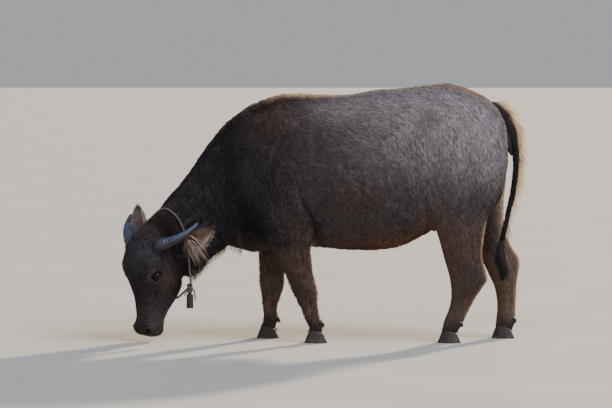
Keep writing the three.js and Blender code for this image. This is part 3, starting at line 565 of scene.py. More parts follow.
class Shader:
    """A material under construction."""

    def __init__(self, name, **fixed):
        self.material = bpy.data.materials.new(name)
        self.material.use_nodes = True
        self.nodes = self.material.node_tree.nodes
        self.links = self.material.node_tree.links
        self.surface = self.nodes["Principled BSDF"]
        for key, value in fixed.items():
            self.surface.inputs[key.replace("_", " ")].default_value = value

    def feed(self, socket, value):
        if isinstance(value, Value):
            self.links.new(value.socket, socket)
        else:
            socket.default_value = value

    def node(self, kind, settings=None, sockets=None):
        made = self.nodes.new(kind)
        for key, value in (settings or {}).items():
            if key == "stops":
                ramp = made.color_ramp
                while len(ramp.elements) < len(value):
                    ramp.elements.new(1)
                for element, (at, colour) in zip(ramp.elements, value):
                    element.position = at
                    element.color = (*colour, 1)
            else:
                setattr(made, key, value)
        for key, value in (sockets or {}).items():
            self.feed(made.inputs[key], value)
        return Node(self, made)

    def attribute(self, name, output="Fac"):
        return self.node("ShaderNodeAttribute", {"attribute_name": name}).out(output)

    def place(self, scale=(1, 1, 1)):
        where = self.node("ShaderNodeTexCoord").out("Object")
        return self.node("ShaderNodeMapping", None, {"Vector": where, "Scale": scale}).out()

    def over(self, x, y):
        """A place in a plane, from two values."""
        return self.node("ShaderNodeCombineXYZ", None, {0: x, 1: y}).out()

    def noise(self, vector, scale, detail=3, roughness=0.6):
        sockets = {"Vector": vector, "Scale": scale, "Detail": detail, "Roughness": roughness}
        return self.node("ShaderNodeTexNoise", None, sockets).out("Fac")

    def ramp(self, value, *stops):
        return self.node("ShaderNodeValToRGB", {"stops": stops}, {0: value}).out()

    def shaded(self, colour, shade):
        """A colour made lighter or darker by a value."""
        grey = self.node("ShaderNodeCombineColor", None, {0: shade, 1: shade, 2: shade}).out()
        return self.mix(1.0, colour, grey, "MULTIPLY")

    def mix(self, share, first, second, blend="MIX"):
        settings = {"data_type": "RGBA", "blend_type": blend}
        return self.node("ShaderNodeMix", settings, {0: share, 6: first, 7: second}).out(2)

    def ranged(self, value, low, high, to_low=0.0, to_high=1.0):
        sockets = {0: value, 1: low, 2: high, 3: to_low, 4: to_high}
        return self.node("ShaderNodeMapRange", None, sockets).out(0)

    def bump(self, height, distance, strength=1.0):
        sockets = {"Height": height, "Distance": distance, "Strength": strength}
        self.feed(self.surface.inputs["Normal"], self.node("ShaderNodeBump", None, sockets).out())

    def set(self, key, value):
        self.feed(self.surface.inputs[key], value)


# The skin: one net round trunk, head and legs, with the forms of the face

def soft_union(first, second, soft):
    near = np.maximum(soft - np.abs(first - second), 0) / soft
    return np.minimum(first, second) - near * near * soft / 4


def coronet_height(x, foot_x):
    """Height of the hoof's upper edge over the floor."""
    slope = (CORONET["front"] - CORONET["back"]) / CLAW["long"]
    return CORONET["front"] - slope * (x - foot_x + CLAW["long"] / 2)


def union_field():
    """Signed distance of the flesh on a grid, with soft joints between its forms."""
    pieces = [(lofted(96, 150, trunk_point), 0.0), (lofted(72, 90, head_point), HEAD_SOFT)]
    for table, side in LEGS.values():
        pieces.append((lofted(40, 90, partial(leg_point, table, side)), LEG_SOFT))
    low = np.floor((np.array(cad_box[0]) - MARGIN) / VOXEL).astype(int)
    high = np.ceil((np.array(cad_box[1]) + MARGIN) / VOXEL).astype(int)
    transform = vdb.createLinearTransform(voxelSize=VOXEL)
    whole = None
    for (points, corners, quads), soft in pieces:
        grid = vdb.FloatGrid.createLevelSetFromPolygons(
            placed(points).astype(np.float32), triangles=corners.astype(np.uint32),
            quads=quads.astype(np.uint32), transform=transform, halfWidth=BAND)
        field = np.empty(high - low, np.float32)
        grid.copyToArray(field, ijk=tuple(int(v) for v in low))
        whole = field if whole is None else soft_union(whole, field, soft)
    axes = [(np.arange(low[k], high[k]) * VOXEL - SHIFT[k]) / MM for k in range(3)]
    x, y, z = np.meshgrid(*axes, indexing="ij", sparse=True)
    # the legs end inside the hooves, under the coronet
    foot_reach, foot_top, in_hoof = 130, 120, 9
    for side, foot_x, _ in FEET.values():
        near = (np.abs(x - foot_x) < foot_reach) & (y * side < 0) & (z < foot_top)
        under = (coronet_height(x, foot_x) - in_hoof - z) * MM
        whole = np.where(near, np.maximum(whole, under), whole).astype(np.float32)
    return whole, low


def lid_balls(field, low):
    """The lids bulge over the eyes."""
    reach = (EYE["radius"] + EYE["lid"]) * MM
    cells = 8
    for side in (LEFT, RIGHT):
        centre = placed(on_head(side * EYE["l"], EYE["n"], EYE["a"]))
        first = np.floor(centre / VOXEL).astype(int) - low - cells
        span = tuple(slice(f, f + 2 * cells + 1) for f in first)
        spots = np.stack(np.meshgrid(*[np.arange(s.start, s.stop) for s in span], indexing="ij"), -1)
        ball = np.linalg.norm((spots + low) * VOXEL - centre, axis=-1) - reach
        field[span] = soft_union(field[span], ball, LID_SOFT)
    return field


field, field_low = union_field()
field = lid_balls(field, field_low)


def distance(points):
    """Distance to the flesh's surface, from the grid."""
    at = points / VOXEL - field_low
    i = np.clip(np.floor(at).astype(int), 0, np.array(field.shape) - 2)
    f = at - i
    total = 0
    for corner in np.ndindex(2, 2, 2):
        weight = np.prod(np.where(corner, f, 1 - f), axis=-1)
        total = total + weight * field[tuple((i + corner).T)]
    return total


def settle(points, rounds):
    """Moves points to the surface of the skin, under that of the flesh."""
    step = VOXEL / 2
    for _ in range(rounds):
        slope = np.stack([
            distance(points + e) - distance(points - e) for e in np.eye(3) * step], -1) / VOXEL
        size = np.maximum(np.sum(slope * slope, -1, keepdims=True), 0.2)
        points = points - slope * (distance(points) + COAT_DEPTH)[:, None] / size
    return points


def refined(net, near):
    """Divides the faces of a net whose middle passes a test."""
    net.faces.ensure_lookup_table()
    middles = np.array([f.calc_center_median() for f in net.faces])
    chosen = [net.faces[int(i)] for i in np.nonzero(near(measured(middles)))[0]]
    edges = {e for f in chosen for e in f.edges}
    bmesh.ops.subdivide_edges(net, edges=list(edges), cuts=1, use_grid_fill=True)


def eye_frame(side):
    """Axes of the eye in the head's frame: out of it, to its inner corner, and up its lids."""
    slant = math.radians(EYE["slant"])
    out = np.array([0.91 * side, 0.41, -0.05])
    out /= np.linalg.norm(out)
    inner = np.array([0, math.cos(slant), -math.sin(slant)])
    inner -= out * (inner @ out)
    inner /= np.linalg.norm(inner)
    up = np.cross(out, inner) * -side
    return out, inner, up


# How far round the eyes the net is finer, and finest.
FACE_REACH = 46
LID_REACH = 34


def near_head(points):
    p = in_head(points)
    return (p[:, 2] < 285) & (p[:, 1] > -205 - 0.3 * p[:, 2]) & (points[:, 0] < -560)


def near_face(points):
    p = in_head(points)
    muzzle = (p[:, 2] < -140) & (p[:, 2] > -300)
    return near_head(points) & (muzzle | near_eyes(points, FACE_REACH))


def near_eyes(points, reach):
    p = in_head(points)
    gap = np.hypot(np.hypot(np.abs(p[:, 0]) - EYE["l"] - 12, p[:, 1] - EYE["n"]), p[:, 2] - EYE["a"])
    return gap < reach


def build_net():
    grid = vdb.FloatGrid()
    grid.transform = vdb.createLinearTransform(voxelSize=VOXEL)
    grid.copyFromArray(field, ijk=tuple(int(v) for v in field_low))
    points, quads = grid.convertToQuads(isovalue=-COAT_DEPTH)
    net = bmesh.new()
    thing = mesh_object("skin", points.astype(float), quads.astype(np.int32))
    net.from_mesh(thing.data)
    bmesh.ops.recalc_face_normals(net, faces=net.faces)
    refined(net, near_head)
    refined(net, near_face)
    refined(net, lambda p: near_eyes(p, LID_REACH))
    net.to_mesh(thing.data)
    net.free()
    return thing


def relaxed(mesh, points, rounds=2):
    """Evens out the net of the skin without leaving its surface."""
    edges = np.empty(len(mesh.edges) * 2, np.int32)
    mesh.edges.foreach_get("vertices", edges)
    edges = edges.reshape(-1, 2)
    count = np.bincount(edges.ravel(), minlength=len(points))[:, None]
    for _ in range(rounds):
        total = np.zeros_like(points)
        for k in range(3):
            total[:, k] += np.bincount(edges[:, 0], points[edges[:, 1], k], len(points))
            total[:, k] += np.bincount(edges[:, 1], points[edges[:, 0], k], len(points))
        points = settle(points * 0.4 + total / count * 0.6, 2)
    return points


def groove(distance_to, width):
    return np.exp(-(distance_to / width) ** 2)


def past_neck(q):
    """How far a point, in the part's own millimetres, belongs to the head's skin."""
    return smoothstep(-q[:, 0], 600, 660)


def nostril_ring(l, a, bend=0.0):
    """Rings round the nostril, one at its rim; they bend like a comma."""
    slant = math.radians(NOSTRIL["slant"])
    across = (l - NOSTRIL["l"]) * math.cos(slant) - (a - NOSTRIL["a"]) * math.sin(slant)
    along = (l - NOSTRIL["l"]) * math.sin(slant) + (a - NOSTRIL["a"]) * math.cos(slant)
    across = across - bend * along ** 2
    return np.hypot(across / NOSTRIL["wide"], along / NOSTRIL["long"])


def lip_gap(n, a):
    """How far a point lies before the line of the mouth."""
    return n - (MOUTH["n"] + MOUTH["lean"] * (MOUTH["corner"] - a))


def head_relief(p):
    """Rise of the skin over the head, in millimetres, from points in the head's frame."""
    l, n, a = np.abs(p[:, 0]), p[:, 1], p[:, 2]
    rise = np.zeros(len(p))
    rise += 6 * groove(a - 60, 62) * smoothstep(l, 40, 76) * smoothstep(n, -20, 40)
    # the nostrils: comma-shaped pits with a raised wing
    ring = nostril_ring(l, a, 0.02)
    front = smoothstep(n, -30, -10)
    pit = NOSTRIL["deep"] * (1 - smoothstep(ring, 0.45, 1.15))
    rise += front * (2.6 * groove(ring - 1.45, 0.35) - pit)
    # the groove between the nostrils, and the line of the mouth under the lip
    rise -= 3 * groove(l, 3.4) * smoothstep(-a, 212, 236) * front
    lip = lip_gap(n, a)
    shut = smoothstep(-a, 158, 172)
    rise += shut * (1.8 * groove(lip - 7, 4) + 1.6 * groove(lip + 7, 4) - 6 * groove(lip, 2.2))
    # creases beside the muzzle and in front of the eye, and the edge of the jaw
    side = smoothstep(l, 20, 40)
    rise -= 1.3 * side * groove(a + 150 + 0.3 * n, 4) * smoothstep(n, -60, -40)
    rise -= 2.0 * side * groove(a + 184 + 0.2 * n, 3.6) * smoothstep(n, -50, -30)
    jaw = 3.0 * side * groove(n + 128 + 0.5 * (a + 60), 13)
    rise += jaw * smoothstep(-a, 10, 60) * (1 - smoothstep(-a, 150, 180))
    # fine wrinkles over the bridge and the cheek
    rise += 0.5 * np.sin(a * 0.21 + 2 * np.sin(l * 0.05) + n * 0.05) * smoothstep(-a, 60, 130)
    return rise


# Lines of the photo's outline, as x and z, and of the crease behind the elbow, as z and x.
BACK_LINE = (
    (-720, -628, -490, -345, -190, 0, 235, 540, 712, 797),
    (600, 674, 868, 1004, 1064, 1062, 1083, 1108, 1040, 815),
)
CREST_LINE = (
    (-860, -813, -770, -734, -691, -653, -610, -568, -525, -470, -420),
    (405, 458, 498, 524, 576, 626, 676, 734, 803, 884, 950),
)
BELLY_LINE = ((-560, -412, -200, 100, 350, 475), (330, 398, 384, 386, 408, 468))
ELBOW_LINE = ((420, 470, 520, 600, 680), (-44, -46, -56, -95, -120))


def body_relief(q):
    """Rise of the skin over the trunk and legs, from points in the part's own millimetres."""
    x, y, z = q[:, 0], q[:, 1], q[:, 2]
    near = np.abs(y)
    # the skin lies deeper where the coat over it is long
    back_z, belly_z = np.interp(x, *BACK_LINE), np.interp(x, *BELLY_LINE)
    top = smoothstep(z, back_z - 70, back_z - 10)
    rise = -top * np.interp(x, [-720, -600, -350, -150, 0, 500, 700], [8, 8, 14, 12, 6, 7, 5])
    rise -= 7 * ((1 - smoothstep(z, belly_z, belly_z + 60)) * (x > -420) * (x < 470))
    # the spine's ridge over rump and loin, and the hollow on each side of it
    back = smoothstep(z, 960, 1040) * smoothstep(x, 250, 420)
    rise += back * (3.5 * groove(near, 22) - 2.5 * groove(near - 48, 26))
    # ribs under the skin of the flank
    flank = smoothstep(x, 40, 120) * (1 - smoothstep(x, 330, 420)) * groove(z - 690, 170)
    rise += 0.9 * flank * np.sin((x + 0.16 * (z - 690)) * 2 * math.pi / 52)
    # the crease behind the elbow and the fold of the flank before the thigh
    elbow = x - np.interp(z, *ELBOW_LINE)
    folded = smoothstep(z, 400, 440) * (1 - smoothstep(z, 580, 680)) * smoothstep(near, 60, 110)
    rise -= 9 * groove(elbow - 8, 13) * folded
    rise += 5 * groove(elbow + 26, 24) * folded
    stifle = x - 440 + 0.25 * (z - 560)
    rise -= 8 * groove(stifle, 16) * groove(z - 545, 90) * smoothstep(near, 70, 120)
    rise += 4 * groove(stifle + 34, 16) * groove(z - 560, 100) * smoothstep(near, 70, 120)
    # the shoulder's edge, the point of the shoulder and the groove along the neck
    blade = x + 330 - 0.42 * (z - 560)
    edge = 7 * groove(blade, 22) * smoothstep(z, 470, 560) * (1 - smoothstep(z, 860, 960))
    rise -= edge * smoothstep(near, 60, 100)
    arm = x + 60 - 0.05 * (z - 640)
    rise -= 4 * groove(arm, 26) * smoothstep(z, 560, 660) * (1 - smoothstep(z, 840, 940))
    rise += 6 * groove(x + 290, 46) * groove(z - 590, 60)
    rise += 7 * groove(x + 120, 60) * groove(z - 610, 90) * smoothstep(near, 60, 110)
    rise -= 4 * groove(x + 200 + 0.35 * (z - 560), 14) * groove(z - 560, 80) * smoothstep(near, 90, 130)
    # the chest's dark hollow before the shoulder, and the thigh's long muscles
    rise -= 9 * groove(x + 372 - 0.1 * (z - 520), 26) * groove(z - 520, 120) * smoothstep(near, 20, 60)
    thigh = x - 610 + 0.10 * (z - 700)
    rise -= 3.5 * groove(thigh, 24) * groove(z - 690, 130) * smoothstep(near, 110, 150)
    rise += 4 * groove(x - 700, 50) * groove(z - 640, 120) * smoothstep(near, 60, 110)
    # the narrow pastern over the hoof
    rise -= 4.5 * (1 - smoothstep(z, 52, 112))
    rise -= 4 * (1 - smoothstep(z, 50, 96)) * smoothstep(leg_back(q, 0.5) - x, 0, 30)
    # folds of the neck and throat
    neck = (1 - smoothstep(x, -560, -360)) * smoothstep(x, -690, -640)
    fold = np.sin((x * 0.55 - z * 0.62) * 2 * math.pi / 46 + 1.4 * np.sin(z * 0.02))
    rise += 1.5 * neck * fold * smoothstep(z, 260, 330) * (1 - smoothstep(z, 520, 640))
    # the gaskin and the cord above the hock; knees; cannons with their tendons
    rise -= 4 * smoothstep(z, 300, 360) * (1 - smoothstep(z, 430, 500)) * groove(x - leg_back(q, 0.72), 9)
    cannon = 3.2 * groove(x - leg_back(q, 0.62), 7) * smoothstep(z, 95, 125) * (1 - smoothstep(z, 190, 235))
    rise -= np.where((z > 90) & (z < 240), cannon, 0)
    rise += 1.2 * np.sin(x * 0.021 + z * 0.017) * np.sin(y * 0.03 + z * 0.023)
    return rise


def leg_edges(table, z):
    """The x of the front and of the back edge of a leg at these heights."""
    rows = np.array(table, float)[::-1]
    return np.interp(z, rows[:, 0], rows[:, 1]), np.interp(z, rows[:, 0], rows[:, 2])


# The skin of a leg lies under a height, this far off the middle plane and this near to the edges.
LEG_TOP = 520
LEG_APART = 40
LEG_MARGIN = 40
# What stands for an x where there is no leg.
NO_LEG = -1e4


def leg_back(q, share):
    """The x at this share from the front to the back edge of the leg nearest to each point."""
    x, y, z = q.T
    out = np.full(len(q), NO_LEG)
    for table, side in LEGS.values():
        front, back = leg_edges(table, z)
        inside = (y * side < -LEG_APART) & (x > front - LEG_MARGIN) & (x < back + LEG_MARGIN)
        out = np.where(inside & (z < LEG_TOP), front + (back - front) * share, out)
    return out


def on_leg(q):
    return leg_back(q, 0.5) > NO_LEG / 2


def lids(p):
    """Shapes the rims of the lids: returns points in the head's frame, moved round each eye."""
    moved = p.copy()
    ball = EYE["radius"]
    for side in (LEFT, RIGHT):
        out, inner, up = eye_frame(side)
        q = p - np.array([side * EYE["l"], EYE["n"], EYE["a"]])
        q0, q1, q2 = q @ out, q @ inner, q @ up
        corner = np.where(q1 > 0, 19.2, 18.0)
        tall = np.where(q2 > 0, 11.6, 11.0)
        e = (np.abs(q1 / corner) ** 1.7 + np.abs(q2 / tall) ** 1.7) ** (1 / 1.7)
        before = q0 > 2
        rim = ball + 1.2 + (EYE["lid"] - 0.6) * np.sqrt(smoothstep(e, 0.98, 1.35))
        radius = np.where(e < 1, ball - 1.6, rim)
        flat = np.hypot(q1, q2)
        depth = np.sqrt(np.maximum(radius ** 2 - flat ** 2, 4))
        share = 1 - smoothstep(e, 1.3, 1.7)
        crease = -1.7 * groove(e - 1.78, 0.13) + 1.1 * groove(e - 2.1, 0.2) - 1.1 * groove(e - 2.5, 0.14)
        crease = crease * np.where(q2 > 0, 1, 0.8)
        target = q0 + (depth - q0) * share + crease * (1 - share)
        delta = np.where(before & (e < 3.2), target - q0, 0)
        moved += delta[:, None] * out
    return moved


def under_crest(local):
    """How far points over the line of the crest are pressed down on it, softly."""
    soft, from_x, full_x = 34, 425, 470
    over = local[:, 2] - np.interp(local[:, 0], *CREST_LINE) + soft
    press = np.where((over > 0) & (local[:, 0] < -from_x), over - soft * (1 - np.exp(-over / soft)), 0)
    return press * smoothstep(-local[:, 0], from_x, full_x)


def build_skin():
    thing = build_net()
    mesh = thing.data
    points = relaxed(mesh, settle(vertex_points(mesh), 3))
    mesh.vertices.foreach_set("co", points.astype(np.float32).ravel())
    mesh.update()
    normals = vertex_normals(mesh)
    local = measured(points)
    headness = past_neck(local)
    rise = body_relief(local) * (1 - headness) + head_relief(in_head(local)) * headness
    local = local + normals * rise[:, None]
    local[:, 2] -= under_crest(local)
    head = lids(in_head(local))
    local = np.where(near_head(local)[:, None], on_head(*head.T), local)
    mesh.vertices.foreach_set("co", placed(local).astype(np.float32).ravel())
    mesh.update()
    return thing


# Colours of hide and coat, in linear light, by place on the animal

SLATE = (0.235, 0.206, 0.222)
FLANK = (0.066, 0.052, 0.055)
DARK = (0.017, 0.014, 0.018)
RUSSET = (0.095, 0.044, 0.030)
BROWN = (0.078, 0.048, 0.037)
FAR_BROWN = (0.110, 0.070, 0.052)
# painted rim light on the edge of the buttock
PAINTED_RIM_LIGHT = (0.30, 0.205, 0.14)
# the blond of the tail's fringe, made brighter to stand also for the sun shining through it: partly painted
# backlight
BLOND_AND_BACKLIGHT = (0.85, 0.64, 0.38)
# near black, for painted shade in the line of the mouth and where the tail meets the rump
SHADE_BLACK = (0.012, 0.010, 0.011)


def blend(first, second, share):
    return first + (np.array(second) - first) * np.clip(share, 0, 1)[:, None]


def layered(ground, count, layers):
    """One colour at every point, with other colours blended over it in turn."""
    colour = np.tile(np.array(ground), (count, 1))
    for tone, share in layers:
        colour = blend(colour, tone, share)
    return colour


def patchy(q, size, seed=0.0):
    """A soft uneven field between about -1 and 1."""
    x, y, z = (q / size).T
    first = np.sin(1.3 * x + 1.7 * np.sin(0.9 * z + seed) + y) * np.cos(1.1 * z - 0.7 * y + seed)
    second = np.sin(2.9 * x - 1.3 * z + 2.1 * y + 1.9 * seed) * np.cos(2.3 * z + 1.9 * y)
    return 0.65 * first + 0.35 * second


# Lighter and darker places of the coat, many of them painted light and shade of its forms, the rest its own
# colour: x, z, reach along x and z, colour, share.
LIGHT_SHADE_AND_TONE_PATCHES = (
    # painted shade in the hollow between neck and shoulder
    (-407, 697, 34, 150, (0.009, 0.008, 0.011), 0.6),
    # painted highlight, bluish, on the shoulder
    (-327, 706, 40, 95, (0.052, 0.046, 0.058), 0.55),
    # painted shade on the chest before the foreleg
    (-301, 500, 46, 90, (0.008, 0.006, 0.008), 0.8),
    # painted light on the muscle of the upper foreleg
    (-141, 520, 60, 95, (0.066, 0.050, 0.048), 0.6),
    # painted shade in the hollow of the hip
    (388, 880, 48, 42, (0.110, 0.092, 0.092), 0.45),
    # painted light on the fold of the stifle, at the thigh's front edge
    (470, 610, 30, 70, (0.135, 0.105, 0.092), 0.5),
    # painted light on the top of the rump, over its grey coat
    (640, 900, 110, 110, (0.290, 0.262, 0.285), 0.6),
    (60, 1000, 130, 60, (0.190, 0.170, 0.180), 0.5),
    (120, 620, 190, 130, (0.060, 0.041, 0.037), 0.75),
    (590, 300, 60, 90, (0.050, 0.034, 0.029), 0.6),
    (-92, 440, 48, 95, (0.092, 0.058, 0.043), 0.65),
)


# The edge of the buttock as the photo shows it: z, and x where its painted rim light starts and is full.
RUMP_RIM = ((420, 560, 712, 908), (700, 730, 770, 772), (714, 752, 788, 789))


def at_forelegs(x):
    return np.abs(x - FORE_X) < FORE_REACH


def legness(q):
    fore = smoothstep(-q[:, 2], -450, -390) * at_forelegs(q[:, 0])
    hind = smoothstep(-q[:, 2], -600, -500) * (q[:, 0] > HIND_X)
    return np.clip(fore + hind, 0, 1)


def trunk_layers(q):
    """Slate rump and back, partly painted light; dark forequarter; painted light and shade of the forms; the
    lit ridge; painted backlight on the belly.
    """
    x, y, z = q.T
    # the grey of the coat over rump and back grows towards the top and the rear, where it also stands for
    # light from above and from the right: partly painted light
    high = smoothstep(z + 22 * patchy(q, 60), 600, 910)
    rear = smoothstep(x + 30 * patchy(q, 80, 2), -20, 480)
    yield SLATE, 0.9 * high * rear
    yield SLATE, 0.5 * smoothstep(x, 300, 700) * smoothstep(z, 500, 880)
    yield SLATE, 0.5 * smoothstep(z, 900, 1040) * smoothstep(x, -120, 120)
    fore = 1 - smoothstep(x + 40 * patchy(q, 70, 1) + 0.12 * (z - 700), -330, 60)
    yield DARK, 0.9 * fore * np.maximum(smoothstep(z, 360, 440), 1 - smoothstep(x, -400, -330))
    yield (0.092, 0.055, 0.042), 0.65 * groove(x + 215, 105) * groove(z - 970, 90)
    # patches of colour, many of them painted light and shade of the forms
    for at_x, at_z, reach_x, reach_z, tone, share in LIGHT_SHADE_AND_TONE_PATCHES:
        yield tone, share * groove(x - at_x, reach_x) * groove(z - at_z, reach_z)
    shadow = groove(x - np.interp(z, *ELBOW_LINE) - 20, 20) * groove(z - 490, 90)
    yield (0.014, 0.010, 0.010), 0.7 * shadow
    top = np.interp(x, *BACK_LINE)
    ridge = smoothstep(z, top - 30, top - 8) * groove(y + 6, 58 + 14 * patchy(q, 26, 3))
    yield (0.26, 0.19, 0.14), 0.6 * ridge * smoothstep(x, -420, -150)
    streaks = (0.62 + 0.3 * patchy(q, 6, 2)) * ridge
    yield (0.64, 0.43, 0.24), streaks * smoothstep(x, -290, -180) * (1 - smoothstep(x, -10, 130))
    nape = smoothstep(z, top - 26, top - 4) * smoothstep(-x, 330, 430) * (1 - smoothstep(-x, 640, 700))
    yield (0.12, 0.075, 0.062), 0.55 * nape
    yield (0.30, 0.165, 0.11), 0.5 * ridge * smoothstep(x, 420, 490) * (1 - smoothstep(x, 640, 700))
    belly = 1 - smoothstep(z - 0.10 * x, 385, 505)
    yield RUSSET, 0.75 * belly * smoothstep(x, -60, 120) * (1 - smoothstep(x, 430, 520))
    # painted backlight: an orange glow along the lower edge of the belly, over its russet
    painted_backlight = groove(z - np.interp(x, *BELLY_LINE), 42) * groove(x - 350, 150)
    yield (0.200, 0.080, 0.046), 0.7 * painted_backlight
    groin = groove(x - 452 + 0.5 * (z - 500), 40) * groove(z - 500, 46)
    yield (0.190, 0.092, 0.058), 0.65 * groin


def leg_layers(q):
    """Brown legs with painted rim light on their back edges and on the rim of the buttock, painted sun on
    the far thigh, and painted shade between the thighs and under the tail.
    """
    x, y, z = q.T
    lower = 1 - smoothstep(z, np.where(x < 200, 330, 380), np.where(x < 200, 470, 620))
    yield BROWN, 0.95 * lower * (y < 0) * at_forelegs(x)
    yield BROWN, 0.95 * lower * (y < 0) * (x > HIND_X)
    yield FAR_BROWN, 0.95 * lower * (y > 0) * (at_forelegs(x) | (x > HIND_X))
    # painted rim light: a pale edge along the back of the buttock
    buttock = smoothstep(x, 730, 800) * smoothstep(z, 420, 560) * (1 - smoothstep(z, 860, 960))
    rim_z, rim_from, rim_full = RUMP_RIM
    rim = smoothstep(x, np.interp(z, rim_z, rim_from), np.interp(z, rim_z, rim_full))
    yield PAINTED_RIM_LIGHT, 0.6 * buttock * rim * (1 - groove(y, 30))
    # painted sunlight on the far thigh, where the low sun from behind falls
    thigh = smoothstep(y, 20, 50) * smoothstep(x, 690, 760) * groove(z - 640, 150)
    yield (0.78, 0.60, 0.44), 0.8 * thigh
    # painted shade between the thighs
    inner = (1 - smoothstep(np.abs(y), 60, 110)) * smoothstep(x, 560, 640)
    inner = inner * (1 - smoothstep(z, 560, 700)) * smoothstep(z, 330, 420)
    yield (0.022, 0.015, 0.014), 0.85 * inner
    # painted shade in the line where the root of the tail meets the rump
    yield SHADE_BLACK, 0.8 * groove(y, 20) * smoothstep(x, 760, 790) * smoothstep(z, 760, 820)
    socks = 1 - smoothstep(z, 60, 130)
    yield DARK, 0.7 * socks
    leg = legness(q)
    front = groove(leg_back(q, 0.08) - x, 18) * leg
    yield (0.112, 0.071, 0.054), 0.6 * front * (x > HIND_X)
    hock = groove(z - 290, 90) * (x > HIND_X) * (y < 0)
    yield DARK, 0.45 * groove(leg_back(q, 0.6) - x, 50) * hock
    # painted rim light along the back edges of the legs
    yield (0.46, 0.31, 0.20), 0.85 * groove(leg_back(q, 0.99) - x, 10) * leg * (1 - socks)
    stripe = groove(x + 357 + 0.1 * (z - 430), 11) * groove(z - 430, 48)
    yield (0.16, 0.085, 0.06), 0.7 * stripe


def body_colour(q):
    """Colour of the coat over trunk, neck and legs, from the part's own millimetres."""
    colour = layered(FLANK, len(q), [*trunk_layers(q), *leg_layers(q)])
    return colour * (1 + 0.16 * patchy(q, 34, 4) + 0.10 * patchy(q, 13, 7))[:, None]


def head_layers(l, n, a):
    """Brown poll and cheek, a painted grey sheen on the forehead, pale lids, black lid margins that also
    stand for the shade of the lashes, and painted shade in nostrils and mouth.
    """
    yield (0.075, 0.048, 0.040), 0.6 * smoothstep(a, 150, 235)
    cheek = groove(a - 5, 60) * groove(n + 40, 60) * smoothstep(l, 30, 70)
    yield (0.085, 0.046, 0.034), 0.75 * cheek
    # painted sheen: a lighter grey over the forehead
    yield (0.052, 0.047, 0.058), 0.55 * groove(a - 110, 90) * smoothstep(n, 0, 80)
    round_eye = np.hypot(np.hypot(l - 88, n - EYE["n"] - 6), 1.15 * (a - EYE["a"]))
    lower = smoothstep(EYE["a"] + 14 - a + 0.9 * (n - EYE["n"]), 0, 26)
    yield (0.120, 0.080, 0.062), 0.8 * groove(round_eye - 37, 8) * lower
    # black lid margins, broad enough to stand also for the shade under the lashes: partly painted shade
    yield (0.005, 0.004, 0.005), 1 - smoothstep(round_eye, 24, 31)
    yield (0.020, 0.017, 0.018), 0.9 * smoothstep(-a, 188, 222)
    chin = smoothstep(-a, 120, 170) * smoothstep(-n, 62, 82)
    yield (0.15, 0.10, 0.085), 0.55 * chin
    jaw = smoothstep(-n, 118, 150) * smoothstep(-a, 0, 60)
    yield (0.11, 0.068, 0.052), 0.5 * jaw
    # painted shade: the inside of the nostrils near black
    yield (0.004, 0.003, 0.003), (1 - smoothstep(nostril_ring(l, a), 0.6, 1.1)) * smoothstep(n, -25, -10)
    # painted shade in the line of the mouth
    yield SHADE_BLACK, 0.9 * groove(lip_gap(n, a), 3) * smoothstep(-a, 158, 172)


def head_colour(p):
    """Colour of the coat over the head, from points in its frame."""
    layers = head_layers(np.abs(p[:, 0]), p[:, 1], p[:, 2])
    colour = layered((0.033, 0.0255, 0.030), len(p), layers)
    return colour * (1 + 0.14 * patchy(p, 20, 3) + 0.10 * patchy(p, 8, 5))[:, None]


def headness(q):
    """How far a point belongs to the coat of the head."""
    return smoothstep(-q[:, 0] - 0.25 * np.maximum(q[:, 2] - 420, 0), 590, 670)


def coat_colour(points):
    """Colour of the coat at points in metres."""
    q = measured(points)
    head = headness(q)[:, None]
    return body_colour(q) * (1 - head) + head_colour(in_head(q)) * head


# How the hair lies: down the legs, back along the trunk, down over the rump and the neck

LIE_AT = (-700, -450, -320, -206, -99, 73, 224, 331, 450, 546, 700)
# Degrees below the way to the rump, high on the flank, in its middle, and low on it.
LIE_ANGLES = (
    (50, 64, 80, 48, 14, 3, 6, 16, 34, 50, 44),
    (55, 70, 84, 66, 34, 20, 44, 62, 74, 82, 88),
    (60, 78, 84, 76, 66, 60, 68, 74, 80, 84, 88),
)


def lie_angle(q):
    x, z = q[:, 0], q[:, 2]
    high, middle, lower = [np.interp(x, LIE_AT, row) for row in LIE_ANGLES]
    up = smoothstep(z, 860, np.interp(x, *BACK_LINE) - 20)
    down = 1 - smoothstep(z, 600, 840)
    angle = middle + (high - middle) * up + (lower - middle) * down
    angle = angle + 6 * patchy(q, 95, 5) + 5 * patchy(q, 38, 9)
    low = 1 - smoothstep(z, 430, 620)
    down_leg = 84
    return angle + (down_leg - angle) * low * ((x > 420) | (x < -20) | on_leg(q))


def unit(vectors):
    return vectors / np.maximum(np.linalg.norm(vectors, axis=-1, keepdims=True), 1e-9)


def square_to(axis, way):
    """The direction nearest to a way that is square to an axis."""
    return unit(way - axis * np.sum(axis * way, -1, keepdims=True))


def lie_of(points, normals, draw, spread):
    """The way the hair points at each spot, along the skin."""
    q = measured(points)
    p = in_head(q)
    angle = np.radians(lie_angle(q))
    lie = np.stack([np.cos(angle), np.zeros(len(q)), -np.sin(angle)], -1)
    head = past_neck(q)[:, None]
    whorl = np.stack([p[:, 0], np.zeros(len(q)), p[:, 2] - 70], -1)
    whorl = whorl / np.maximum(np.linalg.norm(whorl, axis=-1, keepdims=True), 20)
    cheek = smoothstep(-p[:, 1], -50, 30)[:, None]
    on_face = (whorl * (1 - cheek) + np.array([0, -0.5, -0.9]) * cheek) @ HEAD_AXES
    lie = lie * (1 - head) + on_face * head
    return square_to(normals, lie + draw.normal(0, spread, lie.shape))


# Unwrap of the whole body, one chart for each form, for the colours that the coat keeps

